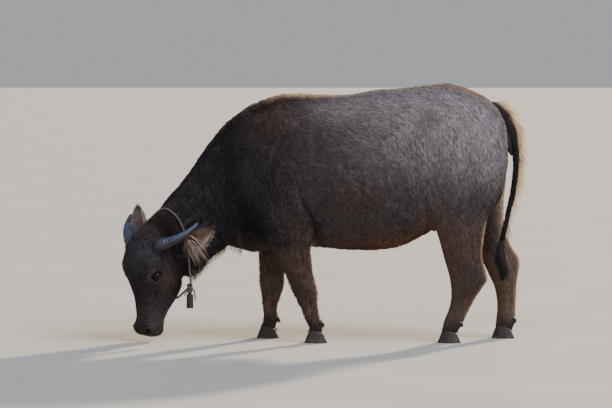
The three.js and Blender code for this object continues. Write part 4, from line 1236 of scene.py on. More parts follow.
def chart_tree():
    """Samples of every form with their place on the unwrap."""
    forms = [(trunk_point, (0.01, 0.51, 0.98, 0.48)), (head_point, (0.01, 0.26, 0.32, 0.24))]
    for i, (table, side) in enumerate(LEGS.values()):
        forms.append((partial(leg_point, table, side), (0.34 + 0.16 * i, 0.26, 0.15, 0.24)))
    share, angle = [grid.ravel() for grid in np.meshgrid(
        np.linspace(0.01, 0.99, 120), np.linspace(0, 2 * math.pi, 64), indexing="ij")]
    spots = np.concatenate([placed(place(share, angle)) for place, _ in forms])
    where = np.concatenate([
        np.stack([u + wide * share, v + tall * angle / (2 * math.pi)], -1)
        for _, (u, v, wide, tall) in forms])
    tree = kdtree.KDTree(len(spots))
    for i, spot in enumerate(spots):
        tree.insert(spot, i)
    tree.balance()
    return tree, where


chart_lookup, chart_places = chart_tree()


def chart_uv(points):
    return np.array([chart_places[chart_lookup.find(p)[1]] for p in points])


# Tufts of hair: points with their own lie, size and colour, on which Geometry Nodes grow solids

def tuft_shape(name, rings, sides, sway, tip):
    """A closed spindle, one long along z, one wide along x; its bend along y is one high."""
    points = [(0.0, -0.7, -0.06)]
    for z, wide, low, high in rings:
        for k in range(sides):
            angle = 2 * math.pi * k / sides + math.pi / 2
            x = sway * z * z + wide * math.cos(angle) / 2
            points.append((x, (low + high) / 2 + (high - low) / 2 * math.sin(angle), z))
    points.append((sway, tip, 1.0))
    faces = []
    for k in range(sides):
        faces.append((0, 1 + (k + 1) % sides, 1 + k))
        for r in range(len(rings) - 1):
            first = 1 + r * sides
            nxt = first + sides
            faces.append((first + k, first + (k + 1) % sides, nxt + (k + 1) % sides, nxt + k))
        final = 1 + (len(rings) - 1) * sides
        faces.append((final + k, final + (k + 1) % sides, len(points) - 1))
    mesh = bpy.data.meshes.new(name)
    mesh.from_pydata(points, [], faces)
    net = bmesh.new()
    net.from_mesh(mesh)
    bmesh.ops.recalc_face_normals(net, faces=net.faces)
    net.to_mesh(mesh)
    net.free()
    mesh.shade_smooth()
    spots = [(x / 2 + 0.5, z, 0) for x, _, z in points]
    set_attribute(mesh, "spot", "FLOAT_VECTOR", spots)
    return bpy.data.objects.new(name, mesh)


def tuft_set(name, rings, sides, sways, tip=0.3):
    kinds = bpy.data.collections.new(name)
    for i, sway in enumerate(sways):
        kinds.objects.link(tuft_shape(f"{name}_{i}", rings, sides, sway, tip))
    return kinds


SHORT_RINGS = [(0.34, 1.0, 0.1, 1.0)]
MIDDLE_RINGS = [(0.2, 0.85, 0.0, 0.75), (0.62, 0.7, 0.35, 1.0)]
LONG_RINGS = [(0.14, 0.7, -0.05, 0.05), (0.45, 1.0, -0.27, -0.16), (0.76, 0.62, -0.66, -0.58)]
short_tufts = tuft_set("short_tufts", SHORT_RINGS, 3, (-0.9, -0.4, 0.0, 0.4, 0.9))
middle_tufts = tuft_set("middle_tufts", MIDDLE_RINGS, 3, (-1.3, -0.6, 0.0, 0.6, 1.3))
long_locks = tuft_set("long_locks", LONG_RINGS, 4, (-1.8, -0.9, -0.2, 0.5, 1.1, 2.0), -1.0)


def tuft_tree():
    """Grows one tuft of a set on each point, with the point's lie, size, colour and patch."""
    tree = bpy.data.node_groups.new("Grow tufts", "GeometryNodeTree")
    face = tree.interface
    face.new_socket("Geometry", in_out="INPUT", socket_type="NodeSocketGeometry")
    face.new_socket("Tuft shapes", in_out="INPUT", socket_type="NodeSocketCollection")
    face.new_socket("Hair", in_out="INPUT", socket_type="NodeSocketMaterial")
    face.new_socket("Patch size", in_out="INPUT", socket_type="NodeSocketFloat")
    face.new_socket("Geometry", in_out="OUTPUT", socket_type="NodeSocketGeometry")

    def node(kind, settings=None, **links):
        made = tree.nodes.new(kind)
        for key, value in (settings or {}).items():
            setattr(made, key, value)
        for key, value in links.items():
            socket = made.inputs[key.replace("_", " ")]
            if isinstance(value, bpy.types.NodeSocket):
                tree.links.new(value, socket)
            else:
                socket.default_value = value
        return made

    def named(name, kind):
        return node("GeometryNodeInputNamedAttribute", {"data_type": kind}, Name=name).outputs[0]

    inputs = node("NodeGroupInput").outputs
    shapes = node("GeometryNodeCollectionInfo", None, Collection=inputs["Tuft shapes"],
                  Separate_Children=True)
    along = node("FunctionNodeAlignRotationToVector", {"axis": "Z"},
                 Vector=named("lie", "FLOAT_VECTOR"))
    turned = node("FunctionNodeAlignRotationToVector", {"axis": "Y", "pivot_axis": "Z"},
                  Rotation=along.outputs[0], Vector=named("face", "FLOAT_VECTOR"))
    grown = node("GeometryNodeInstanceOnPoints", None, Points=inputs["Geometry"],
                 Instance=shapes.outputs[0], Pick_Instance=True, Instance_Index=named("kind", "INT"),
                 Rotation=turned.outputs[0], Scale=named("size", "FLOAT_VECTOR"))
    real = node("GeometryNodeRealizeInstances", None, Geometry=grown.outputs[0])
    spread = node("ShaderNodeVectorMath", {"operation": "SCALE"})
    tree.links.new(named("spot", "FLOAT_VECTOR"), spread.inputs[0])
    tree.links.new(inputs["Patch size"], spread.inputs["Scale"])
    at = node("ShaderNodeVectorMath", {"operation": "ADD"})
    tree.links.new(named("patch", "FLOAT_VECTOR"), at.inputs[0])
    tree.links.new(spread.outputs[0], at.inputs[1])
    kept = node("GeometryNodeStoreNamedAttribute", {"data_type": "FLOAT2", "domain": "CORNER"},
                Geometry=real.outputs[0], Name="OFBake", Value=at.outputs[0])
    dressed = node("GeometryNodeSetMaterial", None, Geometry=kept.outputs[0],
                   Material=inputs["Hair"])
    tree.links.new(dressed.outputs[0], node("NodeGroupOutput").inputs[0])
    return tree


TUFTS = tuft_tree()
# How much of the unwrap the colours of one tuft take.
PATCH_SIZE = 0.003


def grow(name, shapes, material, slot, roots, lie, facing, size, colour, draw, *nodes):
    """One coat piece: a tuft of these shapes on every root."""
    count = len(roots)
    seeds = bpy.data.meshes.new(name)
    seeds.vertices.add(count)
    seeds.vertices.foreach_set("co", np.ascontiguousarray(roots, np.float32).ravel())
    set_attribute(seeds, "lie", "FLOAT_VECTOR", lie)
    set_attribute(seeds, "face", "FLOAT_VECTOR", facing)
    set_attribute(seeds, "size", "FLOAT_VECTOR", size)
    set_attribute(seeds, "tone", "FLOAT_COLOR", np.c_[np.clip(colour, 0, 1), np.ones(count)])
    set_attribute(seeds, "patch", "FLOAT_VECTOR", np.c_[chart_uv(roots), np.zeros(count)])
    kinds = seeds.attributes.new("kind", "INT", "POINT")
    kinds.data.foreach_set("value", draw.integers(0, len(shapes.objects), count).astype(np.int32))
    thing = bpy.data.objects.new(name, seeds)
    bpy.context.scene.collection.objects.link(thing)
    growth = thing.modifiers.new("Tufts", "NODES")
    growth.node_group = TUFTS
    values = {"Tuft shapes": shapes, "Hair": material, "Patch size": PATCH_SIZE}
    for item in TUFTS.interface.items_tree:
        if item.in_out == "INPUT" and item.name in values:
            growth[item.identifier] = values[item.name]
    depsgraph = bpy.context.evaluated_depsgraph_get()
    plain = bpy.data.meshes.new_from_object(thing.evaluated_get(depsgraph))
    thing.modifiers.clear()
    thing.data = plain
    plain.name = name
    bpy.data.meshes.remove(seeds)
    return finished(thing, material, slot, *nodes)


# Materials

def hide_material():
    s = Shader("Buffalo hide", Roughness=0.62, Specular_IOR_Level=0.18)
    tone = s.attribute("tone", "Color")
    upright = s.attribute("upright")
    bare = s.attribute("bare")
    along = s.noise(s.place((16, 260, 300)), 1.0, 3, 0.7)
    down = s.noise(s.place((300, 260, 16)), 1.0, 3, 0.7)
    hair = s.ranged(along + (down - along) * upright, 0.3, 0.7)
    soft = s.noise(s.place(), 9.0, 4, 0.55)
    dust = s.ranged(s.noise(s.place(), 3.4, 5, 0.65), 0.5, 0.72)
    shade = (hair * 0.5 + 0.72) * (soft * 0.35 + 0.83)
    colour = s.mix(dust * 0.16, s.shaded(tone, shade), (0.16, 0.115, 0.085, 1))
    s.set("Base Color", colour)
    pores = s.noise(s.place(), 520.0, 2, 0.6)
    wrinkles = s.noise(s.place(), 130.0, 3, 0.6)
    rough = (pores * 0.5 + wrinkles * 0.8) * bare + hair * (1.0 - bare)
    s.bump(rough, 0.0016, 0.55)
    s.set("Roughness", 0.68 - 0.16 * bare + 0.1 * soft)
    return s.material


def hair_material(name, roughness=0.72, gloss=0.16):
    s = Shader(name, Roughness=roughness, Specular_IOR_Level=gloss)
    strands = s.ranged(s.noise(s.place(), 900.0, 2, 0.5), 0.3, 0.7, 0.72, 1.28)
    s.set("Base Color", s.shaded(s.attribute("tone", "Color"), strands))
    s.bump(strands, 0.0004, 0.4)
    return s.material


HIDE = hide_material()
COAT = hair_material("Short coat")
FRINGE = hair_material("Long hair", 0.55, 0.35)


# Skin, and the spots on it where hair grows

skin = face_out(build_skin())


def bareness(points):
    """Where the skin has no coat: muzzle, lips, lids and the inside of the nostrils."""
    q = measured(points)
    p = in_head(q)
    muzzle = smoothstep(-p[:, 2] + 0.1 * p[:, 1], 205, 226)
    ring = np.hypot(np.hypot(np.abs(p[:, 0]) - 90, p[:, 1] - EYE["n"]), p[:, 2] - EYE["a"])
    return past_neck(q) * np.maximum(muzzle, 1 - smoothstep(ring, 20, 29))


def paint_skin():
    points = vertex_points(skin.data)
    upright = smoothstep(lie_angle(measured(points)), 28, 55)
    paint(skin, coat_colour(points), upright, bareness(points))


paint_skin()
finished(skin, HIDE, "hide", "torso", "neck", "head", *LEGS)


class Ground:
    """The surface of a piece, on which hair can be scattered."""

    def __init__(self, thing):
        self.tris = triangles(thing.data)
        self.points = vertex_points(thing.data)
        self.normals = vertex_normals(thing.data)

    def scatter(self, count, weight, seed):
        """Random spots, as dense as the weight says: their points and normals."""
        draw = np.random.default_rng(seed)
        p = self.points[self.tris]
        area = np.linalg.norm(np.cross(p[:, 1] - p[:, 0], p[:, 2] - p[:, 0]), axis=-1) / 2
        share = area * weight(measured(p.mean(1)))
        chosen = draw.choice(len(share), count, p=share / share.sum())
        u, v = draw.random((2, count))
        flip = u + v > 1
        u, v = np.where(flip, 1 - u, u), np.where(flip, 1 - v, v)
        w = np.stack([1 - u - v, u, v], -1)[..., None]
        spots = (p[chosen] * w).sum(1)
        normals = (self.normals[self.tris[chosen]] * w).sum(1)
        return spots, normals / np.linalg.norm(normals, axis=-1, keepdims=True), draw


skin_ground = Ground(skin)


def drawn(draw, count, *ranges):
    return [draw.uniform(*limits, count) for limits in ranges]


def varied(colour, draw, count, spread, light=1.0):
    """A colour, or one for each tuft, made lighter and darker from tuft to tuft."""
    return np.array(colour) * (light * np.exp(draw.normal(0, spread, count)))[:, None]


def coat_piece(name, count, weight, seed, shapes, size, light=1.0, spread=0.05, lift=0.032):
    """A piece of coat on the skin: size gives length, width and height in millimetres at each root."""
    roots, normals, draw = skin_ground.scatter(count, weight, seed)
    lie = lie_of(roots, normals, draw, spread)
    lie = unit(lie + normals * draw.uniform(0, 2 * lift, count)[:, None])
    long, wide, high = size(measured(roots), draw)
    scale = np.stack([wide, high, long], -1) * MM
    colour = varied(coat_colour(roots), draw, count, 0.13, light)
    return grow(name, shapes, COAT, "hide", roots, lie, normals, scale, colour, draw)


# Short coat over the whole skin, in pieces: where each grows, and its size

# Tufts of a full piece, and the x that parts the barrel from the forequarter.
FULL = 25500
BARREL_X = -60


def barrel_weight(side, q):
    return (q[:, 1] * side < 0) * (1 - legness(q)) * (q[:, 0] > BARREL_X)


def forequarter_weight(side, q):
    return (q[:, 1] * side < 0) * (1 - legness(q)) * (q[:, 0] <= BARREL_X) * (1 - headness(q))


def legs_weight(side, q):
    return (q[:, 1] * side < 0) * legness(q)


def head_weight(q):
    return headness(q) * (1 - 0.97 * bareness(placed(q)))


def flank_size(q, draw):
    """Fine hair with a few broader clumps, longer over the withers."""
    n = len(q)
    longer = 1 + 0.15 * smoothstep(-q[:, 0], 0, 200) * smoothstep(q[:, 2], 700, 1000)
    clump = draw.random(n) < 0.07
    long, wide, high = [np.where(clump, *drawn(draw, n, *limits)) for limits in (
        ((24, 36), (16, 27)), ((1.7, 2.6), (0.9, 1.6)), ((1.1, 1.8), (0.65, 1.2)))]
    return long * longer, wide, high


def leg_size(q, draw):
    short = 1 - 0.45 * (1 - smoothstep(q[:, 2], 60, 130))
    long, wide, high = drawn(draw, len(q), (6, 11), (0.8, 1.5), (0.7, 1.3))
    return long * short, wide, high


def head_size(q, draw):
    short = 1 - 0.45 * smoothstep(-in_head(q)[:, 2], 20, 160)
    long, wide, high = drawn(draw, len(q), (8, 14), (0.7, 1.3), (0.8, 1.6))
    return long * short, wide, high * short


for hand, side in SIDES:
    for name, weight, seed, size in (
            ("barrel", barrel_weight, 101, flank_size),
            ("forequarter", forequarter_weight, 111, flank_size),
            ("legs", legs_weight, 121, leg_size)):
        coat_piece(f"coat_{name}_{hand}", FULL, partial(weight, side), seed + side, short_tufts, size)
coat_piece("coat_head", FULL, head_weight, 131, short_tufts, head_size, lift=0.05)


# Longer coat: crest and back, underside, back edges of the legs, and poll

def plain_size(*limits):
    """A size that is the same everywhere, from ranges of length, width and height."""
    return lambda q, draw: drawn(draw, len(q), *limits)


def crest_weight(q):
    """Longer hair on the crest of the neck, the withers and the line of the back."""
    x, y, z = q.T
    row = np.interp(x, *BACK_LINE)
    mid = np.interp(-x, [345, 490, 560, 628, 700], [0, -30, -52, -90, -120])
    thick = smoothstep(z, row - 58, row - 14) * (0.35 + 0.65 * groove(y - mid, 60))
    return thick * (1 + 1.4 * smoothstep(-x, 0, 300)) * (1 - smoothstep(-x, 650, 700))


def crest_size(q, draw):
    long = np.interp(q[:, 0], [-700, -500, -250, 0, 300, 780], [24, 28, 32, 28, 18, 15])
    share, wide, high = drawn(draw, len(q), (0.7, 1.2), (1.2, 2.2), (3, 6))
    return long * share, wide, high


def under_weight(q):
    """Sparse longer hair under belly and brisket."""
    x, z = q[:, 0], q[:, 2]
    line = np.interp(x, *BELLY_LINE)
    return (1 - smoothstep(z, line + 4, line + 46)) * (x > -600) * (x < 470)


def feather_weight(q):
    """Hair on the back edges of the legs, and over the coronets."""
    z = q[:, 2]
    edge = smoothstep(q[:, 0] - leg_back(q, 0.86), 0, 8) * on_leg(q)
    coronet = (1 - smoothstep(z, 44, 66)) * 0.4
    return edge * (z < 440) + coronet


def poll_weight(q):
    return headness(q) * smoothstep(in_head(q)[:, 2], 120, 200) * (q[:, 0] < -640)


coat_piece("coat_crest", 7000, crest_weight, 141, middle_tufts, crest_size, light=1.1, lift=0.1)
coat_piece("coat_underside", 3500, under_weight, 142, middle_tufts,
           plain_size((14, 26), (1.0, 1.8), (2, 4)), lift=0.14)
coat_piece("coat_leg_feather", 4000, feather_weight, 143, middle_tufts,
           plain_size((6, 12), (0.8, 1.4), (1.0, 2.0)), light=1.15, lift=0.06)
coat_piece("coat_poll", 2600, poll_weight, 144, middle_tufts,
           plain_size((12, 22), (0.9, 1.6), (2, 4)), light=1.1, spread=0.16, lift=0.14)


# Long hair: at the throat, on the tail, its switch, and in the ears

UP = np.array([0, 0, 1.0])


def throat_weight(q):
    x, z = q[:, 0], q[:, 2]
    line = np.interp(x, [-600, -530, -452, -400, -340], [282, 306, 378, 398, 392])
    return (1 - smoothstep(z, line + 2, line + 26)) * (x > -560) * (x < -345)


def throat_hair(count=420):
    """Long locks that leave the throat and then hang."""
    roots, normals, draw = skin_ground.scatter(count, throat_weight, 151)
    fall = np.array([-0.25, -0.1, -1]) + draw.normal(0, 0.16, (count, 3))
    lie = unit(fall + 0.5 * normals)
    scale = np.stack(drawn(draw, count, (0.9, 1.9), (2, 9), (20, 42)), -1) * MM
    tone = varied((0.15, 0.105, 0.062), draw, count, 0.25)
    facing = square_to(lie, UP + 0.3 * normals)
    grow("coat_throat", long_locks, FRINGE, "hide", roots, lie, facing, scale, tone, draw)


throat_hair()


# Tail

TAIL_TABLE = np.array(TAIL, float)
SWITCH_TABLE = np.array(SWITCH, float)
# The tail's skin is thinner than its hair, and bare skin ties its root to the rump: x, y, z, radius.
TAIL_SKIN = 0.92
TAIL_FOLD = [
    [752, -8, 962, 24], [774, -9, 925, 26], [790, -10, 880, 24], [800, -11, 842, 19],
    [808, -12, 812, 11], [812, -12, 796, 4],
]


def tail_radius(share, angle):
    joints = 1 + 0.035 * np.sin(share * 2 * math.pi * 21)
    return joints * (1 - 0.22 * smoothstep(np.sin(angle), 0.2, 1.0))


def tail_colour(points):
    q = measured(points)
    layer = ((0.060, 0.050, 0.052), smoothstep(q[:, 2], 740, 980))
    return layered(np.array(DARK) * 1.25, len(q), [layer]) * (1 + 0.2 * patchy(q, 18, 2))[:, None]


def tail_skin():
    shape = swept(TAIL_TABLE[:, :3], TAIL_TABLE[:, 3] * TAIL_SKIN, 24, 120, 1.0, tail_radius)
    thing = outward(shaped("tail", shape))
    paint(thing, tail_colour(vertex_points(thing.data)), 1, 0)
    return finished(thing, HIDE, "hide", "tail_upper", "tail_lower")


def tail_fold():
    """The fold of skin that ties the root of the tail to the rump, painted near black as the shade between
    them.
    """
    table = np.array(TAIL_FOLD, float)
    thing = outward(shaped("tail_fold", swept(table[:, :3], table[:, 3], 28, 60, 0.62)))
    # painted shade: the fold is near black
    paint(thing, layered((0.020, 0.015, 0.015), len(thing.data.vertices), []), 1, 0.4)
    finished(thing, HIDE, "hide")


tail_ground = Ground(tail_skin())
tail_fold()


def tail_along(q):
    """Direction of the tail at the height of each point."""
    table = TAIL_TABLE[:, :3]
    share = np.interp(-q[:, 2], -table[1:, 2], np.arange(1, len(table)) / (len(table) - 1))
    return unit(between(table, np.minimum(share + 0.02, 1)) - between(table, share - 0.02))


def tail_coat(name, count, weight, seed, shapes, sizes, out, colour=None):
    """Hair on the tail: sizes are ranges of width, height and length; low down it turns dark."""
    roots, normals, draw = tail_ground.scatter(count, weight, seed)
    q = measured(roots)
    lift = normals * draw.uniform(*out, count)[:, None]
    lie = unit(tail_along(q) + lift + draw.normal(0, 0.1, (count, 3)))
    scale = np.stack(drawn(draw, count, *sizes), -1) * MM
    tone = varied(tail_colour(roots) if colour is None else colour, draw, count, 0.3)
    fade = smoothstep(q[:, 2], 380, 620)[:, None]
    tone = tone * fade + np.array(DARK) * (1 - fade)
    grow(name, shapes, FRINGE, "hide", roots, lie, square_to(lie, normals), scale, tone, draw)


def everywhere(q):
    return np.ones(len(q))


def fringe_weight(q):
    """The back edge of the tail, and the top of its root."""
    x, z = q[:, 0], q[:, 2]
    middle, radius = [np.interp(-z, -TAIL_TABLE[1:, 2], TAIL_TABLE[1:, k]) for k in (0, 3)]
    height = np.interp(x, TAIL_TABLE[:4, 0], TAIL_TABLE[:4, 2])
    outside = smoothstep((x - middle) / radius * -tail_along(q)[:, 2], 0.55, 0.8)
    above = smoothstep(z - height, 11, 17) * (x < 800) * (x > 735)
    return np.maximum(outside * (z < 960), 0.4 * above) * (0.25 + 0.75 * smoothstep(z, 560, 760)) * (z > 480)


tail_coat("coat_tail", 5000, everywhere, 161, short_tufts, ((1.2, 2.2), (1.4, 2.6), (12, 22)), (0.02, 0.12))
# the fringe's blond is brightened as painted backlight
tail_coat("coat_tail_fringe", 1100, fringe_weight, 162, long_locks,
          ((0.45, 0.95), (8, 26), (28, 72)), (0.5, 1.35), BLOND_AND_BACKLIGHT)


def switch_hair(count=1900):
    """Dark locks that hang along the switch, from a core of their own, and end over one height."""
    end_z, inner_longer, shortest, steepest = 256, 62, 12, 0.6
    core = SWITCH_TABLE[:, :3]
    draw = np.random.default_rng(171)
    share = draw.random(count) ** 1.1 * 0.66
    at = between(SWITCH_TABLE, share)
    along = unit(between(core, np.minimum(share + 0.03, 1)) - between(core, np.maximum(share - 0.03, 0)))
    turn = draw.uniform(0, 2 * math.pi, count)
    out = np.stack([np.cos(turn), np.sin(turn), np.zeros(count)], -1)
    from_core = draw.uniform(0.2, 1.05, count)
    roots = placed(at[:, :3] + out * (at[:, 3] * from_core)[:, None])
    lie = unit(along * [0.8, 1, 1] + out * draw.uniform(0.04, 0.3, count)[:, None])
    gap = roots[:, 2] / MM - end_z - inner_longer * (from_core - 0.2) ** 1.5
    gap = gap / np.maximum(-lie[:, 2], steepest)
    long = draw.uniform(56, 112, count)
    long = np.minimum(long, np.maximum(gap * draw.uniform(0.7, 1.04, count), shortest))
    scale = np.stack([*drawn(draw, count, (1.8, 4.2), (2, 16)), long], -1) * MM
    tone = varied((0.016, 0.012, 0.012), draw, count, 0.4)
    grow("tail_switch_hair", long_locks, FRINGE, "hair", roots, lie, square_to(lie, out), scale, tone,
         draw, "tail_switch")


switch_hair()


# Ears: a leaf rolled into a cup that opens forwards and down

def ear_axes(side, reach):
    """Root of an ear, and its directions: to the tip, across the leaf, and out of its back."""
    root = on_head(side * EAR["root"][0], *EAR["root"][1:])
    along = unit(on_head(side * reach[0], *reach[1:]) - np.array(HEAD_AT))
    facing = on_head(0.45 if side == LEFT else 0.3, 1.0, -0.55) - np.array(HEAD_AT)
    across = unit(np.cross(along, facing))
    back = np.cross(across, along)
    return root, along, across, -back if back @ facing > 0 else back


def ear_half(share, least):
    """Half the width of the leaf at a share of its length."""
    return EAR["wide"] / 2 * np.sin(math.pi * (0.2 + 0.8 * share)).clip(least) ** 0.8


def ear_leaf(root, along, across, back, length, share, angle):
    half = ear_half(share, 0) * (0.5 + 0.5 * smoothstep(share, 0, 0.4))
    roll = EAR["cup"] * (1 - 0.55 * share)
    outer = angle < math.pi
    over = np.where(outer, angle / math.pi, 2 - angle / math.pi)
    bend = (over * 2 - 1) * roll
    radius = half / np.sin(np.minimum(roll, math.pi / 2))
    thick = EAR["thick"] * np.where(outer, 0.5, -0.5) * (1 - 0.3 * np.abs(over * 2 - 1))
    ends = (share > 0) & (share < 1)
    wave = 1.6 * np.sin(bend * 3 + share * 7) * share
    sag = (radius * (np.cos(bend) - 1) + thick + wave) * ends
    middle = root + along * (length * share)[:, None]
    return middle + across * (radius * np.sin(bend) * ends)[:, None] + back * sag[:, None]


# What differs between the ears: lining, share of the pale edge, the two colours between which the
# hair of the lining varies, and number and way of the locks that curl out.
EARS = {
    LEFT: {
        "reach": EAR["near"], "long": EAR["long"], "lining": (0.165, 0.082, 0.058), "edge": 0.35,
        "hair": ((0.34, 0.21, 0.155), (0.13, 0.06, 0.045)), "locks": 34, "sweep": (0.95, -0.32, 0.42),
    },
    RIGHT: {
        "reach": EAR["far"], "long": EAR["far_long"], "lining": (0.092, 0.088, 0.112), "edge": 0.9,
        "hair": ((0.30, 0.27, 0.28), (0.08, 0.07, 0.085)), "locks": 14, "sweep": (-0.25, -0.75, 0.1),
    },
}


def ear_hair(name, ground, count, weight, seed, shapes, lead, sizes, out, tones):
    """Hair on an ear: sizes are ranges of width, height and length."""
    roots, normals, draw = ground.scatter(count, weight, seed)
    lie = unit(lead + normals * draw.uniform(*out, count)[:, None] + draw.normal(0, 0.12, (count, 3)))
    facing = square_to(lie, normals if shapes is short_tufts else UP + 0.15 * normals)
    scale = np.stack(drawn(draw, count, *sizes), -1) * MM
    pick = draw.random(count)[:, None]
    tone = np.array(tones[0]) * pick + np.array(tones[1]) * (1 - pick)
    grow(name, shapes, FRINGE, "hide", roots, lie, facing, scale, tone, draw)


def ear(hand, side):
    own = EARS[side]
    root, along, across, back = ear_axes(side, own["reach"])
    around, rows = 64, 60
    shape = lofted(around, rows, partial(ear_leaf, root, along, across, back, own["long"]))
    thing = face_out(shaped(f"ear_skin_{hand}", shape))
    share, angle = ring_grid(around, rows)
    far = np.concatenate([[0], share, [1]])
    inner = np.concatenate([[0], angle > math.pi, [0]])
    low_side = across if (-across[2] if side == LEFT else across[0]) > 0 else -across

    def reach_of(q):
        return (q - root) @ along / EAR["long"]

    def off_middle(q):
        return (q - root) @ low_side / ear_half(reach_of(q).clip(0, 1), 0.05)

    def within(low, high, q):
        return (reach_of(q) > low) * (reach_of(q) < high)

    edge = inner * smoothstep(off_middle(shape[0]), 0.42, 0.7) * smoothstep(far, 0.15, 0.35)
    colour = layered((0.035, 0.026, 0.027), len(far), (
        (own["lining"], inner * smoothstep(far, 0.05, 0.28)),
        ((0.21, 0.125, 0.095), 0.7 * inner * groove(far - 0.72, 0.22)),
        ((0.62, 0.55, 0.50), own["edge"] * edge),
        ((0.02, 0.016, 0.017), 0.85 * smoothstep(far, 0.84, 0.95))))
    paint(thing, colour * (1 + 0.18 * patchy(shape[0], 14, 6))[:, None], 0.3, 0.6 * inner)
    finished(thing, HIDE, "hide", f"ear_{hand}")
    outside, inside = Ground(thing), Ground(thing)
    lining = inner[inside.tris].min(1) > 0.5
    inside.tris = inside.tris[lining]
    outside.tris = outside.tris[~lining]
    ear_hair(f"ear_coat_{hand}", outside, 4000, everywhere, 181 + side, short_tufts, along,
             ((0.9, 1.6), (1.0, 2.0), (8, 15)), (0.02, 0.12),
             ((0.05, 0.036, 0.034), (0.03, 0.024, 0.026)))
    ear_hair(f"ear_lining_{hand}", inside, 760, partial(within, 0.1, 0.92), 191 + side, long_locks,
             along + 0.35 * low_side, ((0.6, 1.2), (1, 4), (10, 22)), (0.03, 0.15), own["hair"])
    ear_hair(f"ear_rim_hair_{hand}", inside, 380,
             lambda q: smoothstep(off_middle(q), 0.5, 0.75) * within(0.38, 0.92, q),
             201 + side, long_locks, along * 0.8 + low_side * 0.5,
             ((0.7, 1.3), (2, 8), (9, 24)), (0.02, 0.3), ((0.62, 0.56, 0.50), (0.34, 0.27, 0.22)))
    ear_hair(f"ear_locks_{hand}", inside, own["locks"],
             lambda q: within(0.25, 0.48, q) * (off_middle(q) < 0.0),
             211 + side, long_locks, np.array(own["sweep"]),
             ((0.5, 1.5), (70, 138), (40, 68)), (0.02, 0.12), ((0.40, 0.29, 0.23), (0.12, 0.075, 0.058)))


for hand, side in SIDES:
    ear(hand, side)


# Horns, with the rings of their growth

def horn_material():
    s = Shader("Horn", Roughness=0.42, Specular_IOR_Level=0.45)
    along = s.attribute("along")
    grain = s.noise(s.over(s.attribute("round") * 9.0, along * 3.0), 2.2, 5, 0.7)
    spots = s.noise(s.place(), 60.0, 4, 0.6)
    colour = s.ramp(
        grain * 0.85 + spots * 0.3 - 0.04,
        (0.32, (0.007, 0.009, 0.016)), (0.48, (0.014, 0.023, 0.050)),
        (0.6, (0.032, 0.055, 0.110)), (0.78, (0.13, 0.175, 0.26)))
    # painted shade: the underside, where the surface faces down, turns near black
    colour = s.mix(s.attribute("under") * 0.95, colour, (0.016, 0.012, 0.011, 1))
    colour = s.mix(s.ranged(along, 0.05, 0.3, 0.8, 0.0), colour, (0.035, 0.03, 0.03, 1))
    colour = s.mix(s.ranged(along, 0.86, 1.0, 0.0, 0.55), colour, (0.05, 0.048, 0.05, 1))
    s.set("Base Color", colour)
    rings = s.node("ShaderNodeMath", {"operation": "SINE"}, {0: along * 210.0 + grain * 5.0}).out()
    s.bump(rings * 0.25 + grain + spots * 0.4, 0.0016, 0.5)
    s.set("Roughness", grain * 0.3 + 0.26)
    return s.material


HORN_STUFF = horn_material()


def horn(hand, side):
    around, rows = 48, 140
    root, bend, tip = [on_head(side * l, n, a) for l, n, a in HORN["path"]]
    steps = np.linspace(0, 1, 9)[:, None]
    path = root * (1 - steps) ** 2 + bend * 2 * steps * (1 - steps) + tip * steps ** 2
    radii = HORN["root"] + (HORN["tip"] - HORN["root"]) * steps[:, 0] ** 1.15

    def ringed(share, angle):
        rings = 0.022 * np.sin(share * 2 * math.pi * 15 + 0.5 * np.sin(angle))
        rings = rings * (1 - smoothstep(share, 0.35, 0.75))
        keel = 0.07 * np.cos(3 * angle + 0.6) * (1 - 0.6 * share)
        collar = 0.09 * np.exp(-((share - 0.2) / 0.05) ** 2)
        blunt = np.sqrt(1 - np.clip((share - 0.965) / 0.036, 0, 1) ** 2)
        return (1 + rings + keel + collar) * blunt

    shape = swept(path, radii, around, rows, HORN["flat"], ringed)
    thing = face_out(shaped(f"horn_sheath_{hand}", shape))
    share, angle = ring_grid(around, rows)
    # how far the surface faces down, for the painted shade under the horn
    under = smoothstep(-vertex_normals(thing.data)[:, 2], -0.55, 0.3)
    set_attribute(thing.data, "along", "FLOAT", [0, *share, 1])
    set_attribute(thing.data, "round", "FLOAT", [0, *np.abs(np.sin(angle / 2)), 0])
    set_attribute(thing.data, "under", "FLOAT", under)
    finished(thing, HORN_STUFF, "horn", f"horn_{hand}")


def horn_foot_hair(hand, side, count=600):
    """Coat that grows over the foot of the horn."""
    root, ahead = [np.array([side * l, n, a]) for l, n, a in HORN["path"][:2]]
    along = unit(ahead - root)

    def from_axis(q):
        p = in_head(q) - root
        reach = p @ along
        return reach, p - reach[:, None] * along

    def weight(q):
        reach, off = from_axis(q)
        ring = np.linalg.norm(off, axis=-1) - HORN["root"]
        return groove(ring - 3, 6) * (reach > 5) * (reach < 80)

    roots, _, draw = skin_ground.scatter(count, weight, 221 + side)
    off = unit(from_axis(measured(roots))[1])
    lie = unit(along + 0.1 * off + draw.normal(0, 0.1, (count, 3)))
    facing = square_to(lie, off)
    scale = np.stack(drawn(draw, count, (1, 1.8), (1, 2), (10, 20)), -1) * MM
    tone = varied(coat_colour(roots), draw, count, 0.15)
    grow(f"coat_horn_foot_{hand}", short_tufts, COAT, "hide", roots, lie @ HEAD_AXES, facing @ HEAD_AXES,
         scale, tone, draw)


for hand, side in SIDES:
    horn(hand, side)
    horn_foot_hair(hand, side)


# Eyes: a dark ball with a clear bulge over an iris whose pupil lies level

def eye_material():
    s = Shader("Eye", Roughness=0.05, Specular_IOR_Level=0.28)
    rays = s.ranged(s.noise(s.place(), 380.0, 2, 0.5), 0.3, 0.7, 0.8, 1.2)
    s.set("Base Color", s.shaded(s.attribute("tone", "Color"), rays))
    return s.material


EYE_STUFF = eye_material()


